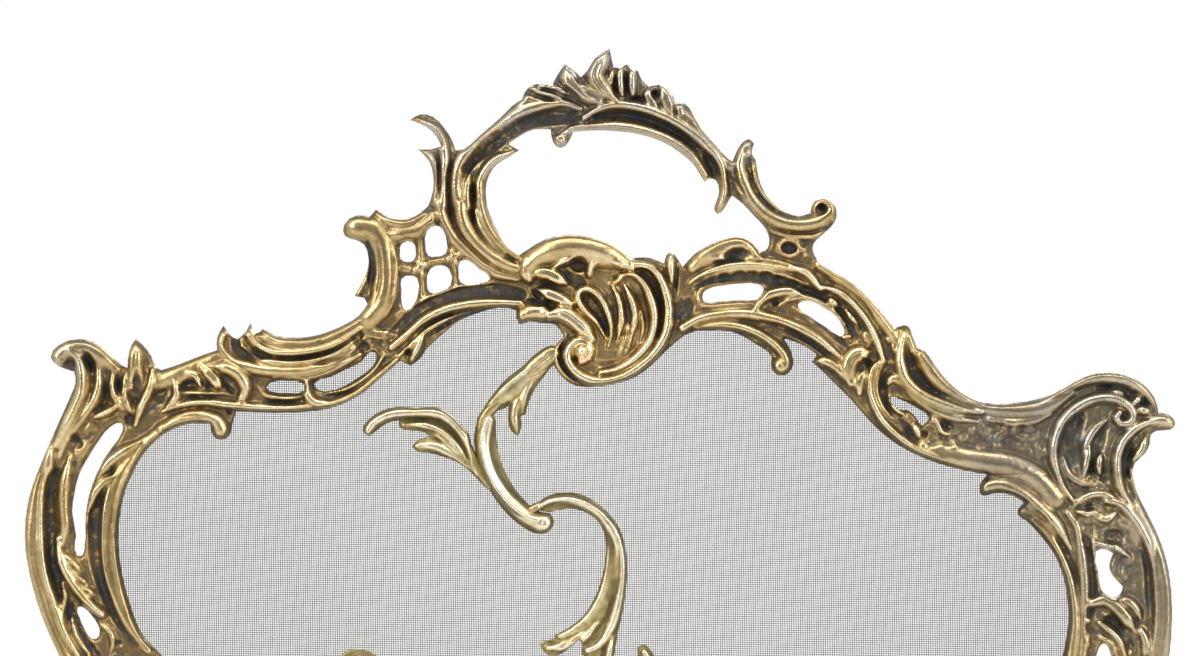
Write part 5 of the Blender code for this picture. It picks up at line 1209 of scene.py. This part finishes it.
REAR_CARVING = [
    roll(2.6, [(30, 160), (46, 151), (57, 134), (66, 112), (74, 86), (80, 58), (84, 34), (87, 16)], 5.2, 0.3, 0.5,
        0.5),
    groove(1.1, [(34, 162), (50, 153), (62, 134), (71, 110), (79, 82), (84, 52)], 1.0, 0.4, 0.3),
    groove(1.1, [(34, 154), (45, 144), (54, 126), (63, 102), (71, 76), (77, 48)], 1.0, 0.4, 0.3),
    leaf(3.4, [(60, 140), (70, 118), (77, 94)], 5.2, 0.3, 0.4, 0.15),
    groove(1.3, [(77, 8), (90, 9.5), (102, 8)], 1.2), roll(4.2, [(80, 5), (90, 5), (99, 4)], 5.4, 0.25, 0.7, 0.7),
    ball(90, 19, 3.4, 5.2, 0.4), pit(90, 19, 1.2, 1.0),
]
FRONT_TAPER = [(0, 1.08), (12, 1.04), (30, 0.72), (60, 0.78), (110, 1.08), (140, 1.12)]
REAR_TAPER = [(0, 1.1), (12, 1.05), (34, 0.72), (80, 0.76), (140, 0.95), (170, 1.08)]
KNUCKLE = [(2.75, 146.4), (6.2, 146.4), (7, 147.2), (7, 150.2), (6.3, 150.8), (6.3, 152), (7, 152.6), (7, 165.4),
           (6.3, 166), (6.3, 167.2), (7, 167.8), (7, 170.8), (6.2, 171.6), (2.75, 171.6)]
for label, x in (("left", -FOOT_X), ("right", FOOT_X)):
    mesh = carved_leg("leg", x, FRONT_LEG, FRONT_CARVING, 9.0, FRONT_TAPER, ((-7, 136), (-0.5, 137)))
    add_piece("front_foot_" + label + "_leg", mesh, CAST, "screen_frame", "cast_brass", "front_foot_" + label)
    edge = [(14, 167.8), (14, 142), (10, 135), (9, 124), (4, 119)]
    tang = [(x - away, z) for away, z in edge] + [(x + away, z) for away, z in reversed(edge)]
    add_piece("front_foot_" + label + "_tang", plate("tang", tang, -0.5, 5.2), HINGE, "screen_frame", "cast_brass")
    body = "rear_foot_" + label
    mesh = carved_leg("leg", x, REAR_LEG, REAR_CARVING, 5.4, REAR_TAPER, ((20, 166.5), (20, 152)))
    add_piece(body + "_leg", mesh, CAST, body, "cast_brass", body)
    add_piece(body + "_knuckle", turned("knuckle", x, 18, KNUCKLE), HINGE, body, "cast_brass")

# ---------------------------------------------------------------- woven wires

WIRE_HALF = 0.165
# across axis, pitch, depth (mm) and tilt (radians) of the upright and level wires
LAYERS = ((0, 1.41, -0.54, 0.016), (1, 1.35, -0.26, -0.020))
RING = np.array([(-1, -1), (1, -1), (1, 1), (-1, 1)]) * WIRE_HALF


def crossings(loops, at, axis):
    """Sorted places along a straight line at which it crosses the loops."""
    found = []
    for loop in loops:
        a, b = loop, np.roll(loop, -1, axis=0)
        hit = (a[:, axis] < at) != (b[:, axis] < at)
        a, b = a[hit], b[hit]
        share = (at - a[:, axis]) / (b[:, axis] - a[:, axis])
        found.append(a[:, 1 - axis] + share * (b[:, 1 - axis] - a[:, 1 - axis]))
    return np.sort(np.concatenate(found))


def wire_quads(steps):
    """The side and end faces of one square wire with that many rings of four points."""
    side = np.arange(4)[None, :]
    cell = np.arange(steps - 1)[:, None] * 4 + side
    after = np.arange(steps - 1)[:, None] * 4 + (side + 1) % 4
    sides = np.stack([cell, after, after + 4, cell + 4], axis=2).reshape(-1, 4)
    end = 4 * steps
    return np.concatenate([sides, [[3, 2, 1, 0], [end - 4, end - 3, end - 2, end - 1]]])


def wires():
    loops = back_face("wire_panel")
    chance = np.random.default_rng(7)
    points, quads, count = [], [], 0
    for axis, pitch, depth, tilt in LAYERS:
        turn = np.array([[math.cos(tilt), -math.sin(tilt)], [math.sin(tilt), math.cos(tilt)]])
        turned_loops = [loop @ turn for loop in loops]
        every = np.concatenate(turned_loops)
        low, high = every[:, axis].min(), every[:, axis].max()
        for number in range(int((high - low) / pitch)):
            at = low + pitch * (number + 0.5) + chance.normal(0, 0.012)
            wave, phase = chance.uniform(0.0, 0.03), chance.uniform(0, 6.3)
            ends = crossings(turned_loops, at, axis)
            for start, stop in zip(ends[::2], ends[1::2]):
                if stop - start < 1:
                    continue
                steps = max(2, int((stop - start) / 28) + 1)
                run = np.linspace(start, stop, steps)
                flat = np.zeros((steps, 4, 2))
                flat[:, :, axis] = (at + wave * np.sin(run / 24 + phase))[:, None] + RING[None, :, 0]
                flat[:, :, 1 - axis] = run[:, None]
                flat = flat @ turn.T
                deep = np.broadcast_to(depth + RING[:, 1], (steps, 4))
                points.append(np.stack([flat[:, :, 0], deep, flat[:, :, 1]], axis=2).reshape(-1, 3))
                quads.append(wire_quads(steps) + count)
                count += 4 * steps
    return quad_mesh("wires", np.concatenate(points), np.concatenate(quads))


add_piece("wire_mesh_panel", wires(), WIRE, "screen_frame", "wire_mesh", "wire_panel")

# ---------------------------------------------------------------- carried-over CAD nodes

for node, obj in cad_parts.items():
    if obj.hide_render:
        continue
    if "screw" in node:
        finish = SCREW
    elif node.startswith(("retainer", "handle_plate")):
        finish = STRIP
    else:
        finish = HINGE
    obj.data.materials.clear()
    obj.data.materials.append(finish)

# ---------------------------------------------------------------- floor

n = Nodes("floor")
n.feed(n.shader.inputs["Base Color"], n.ramp(n.noise(3, 4), [(0.3, (0.80, 0.80, 0.79)), (0.7, (0.84, 0.84, 0.83))]))
n.shader.inputs["Roughness"].default_value = 0.8
# the floor fades into the white background away from the screen
away = n.add("VectorMath", operation="LENGTH")
n.feed(away.inputs[0], n.place())
fade = n.add("MapRange", interpolation_type="SMOOTHSTEP")
for socket, value in zip(fade.inputs, (away.outputs["Value"], 1.1, 2.8, 0.0, 1.0)):
    n.feed(socket, value)
blend = n.add("MixShader")
for socket, source in zip(blend.inputs, (fade, n.shader, n.add("Emission"))):
    n.feed(socket, source.outputs[0])
n.feed(n.tree.nodes["Material Output"].inputs["Surface"], blend.outputs[0])
disc = bmesh.new()
bmesh.ops.create_circle(disc, cap_ends=True, segments=96, radius=3.0)
floor_mesh = bpy.data.meshes.new("floor")
disc.to_mesh(floor_mesh)
disc.free()
floor_mesh.materials.append(n.material)
floor = bpy.data.objects.new("floor", floor_mesh)
floor.location = (0, 0, -0.0005)
bpy.context.scene.collection.objects.link(floor)
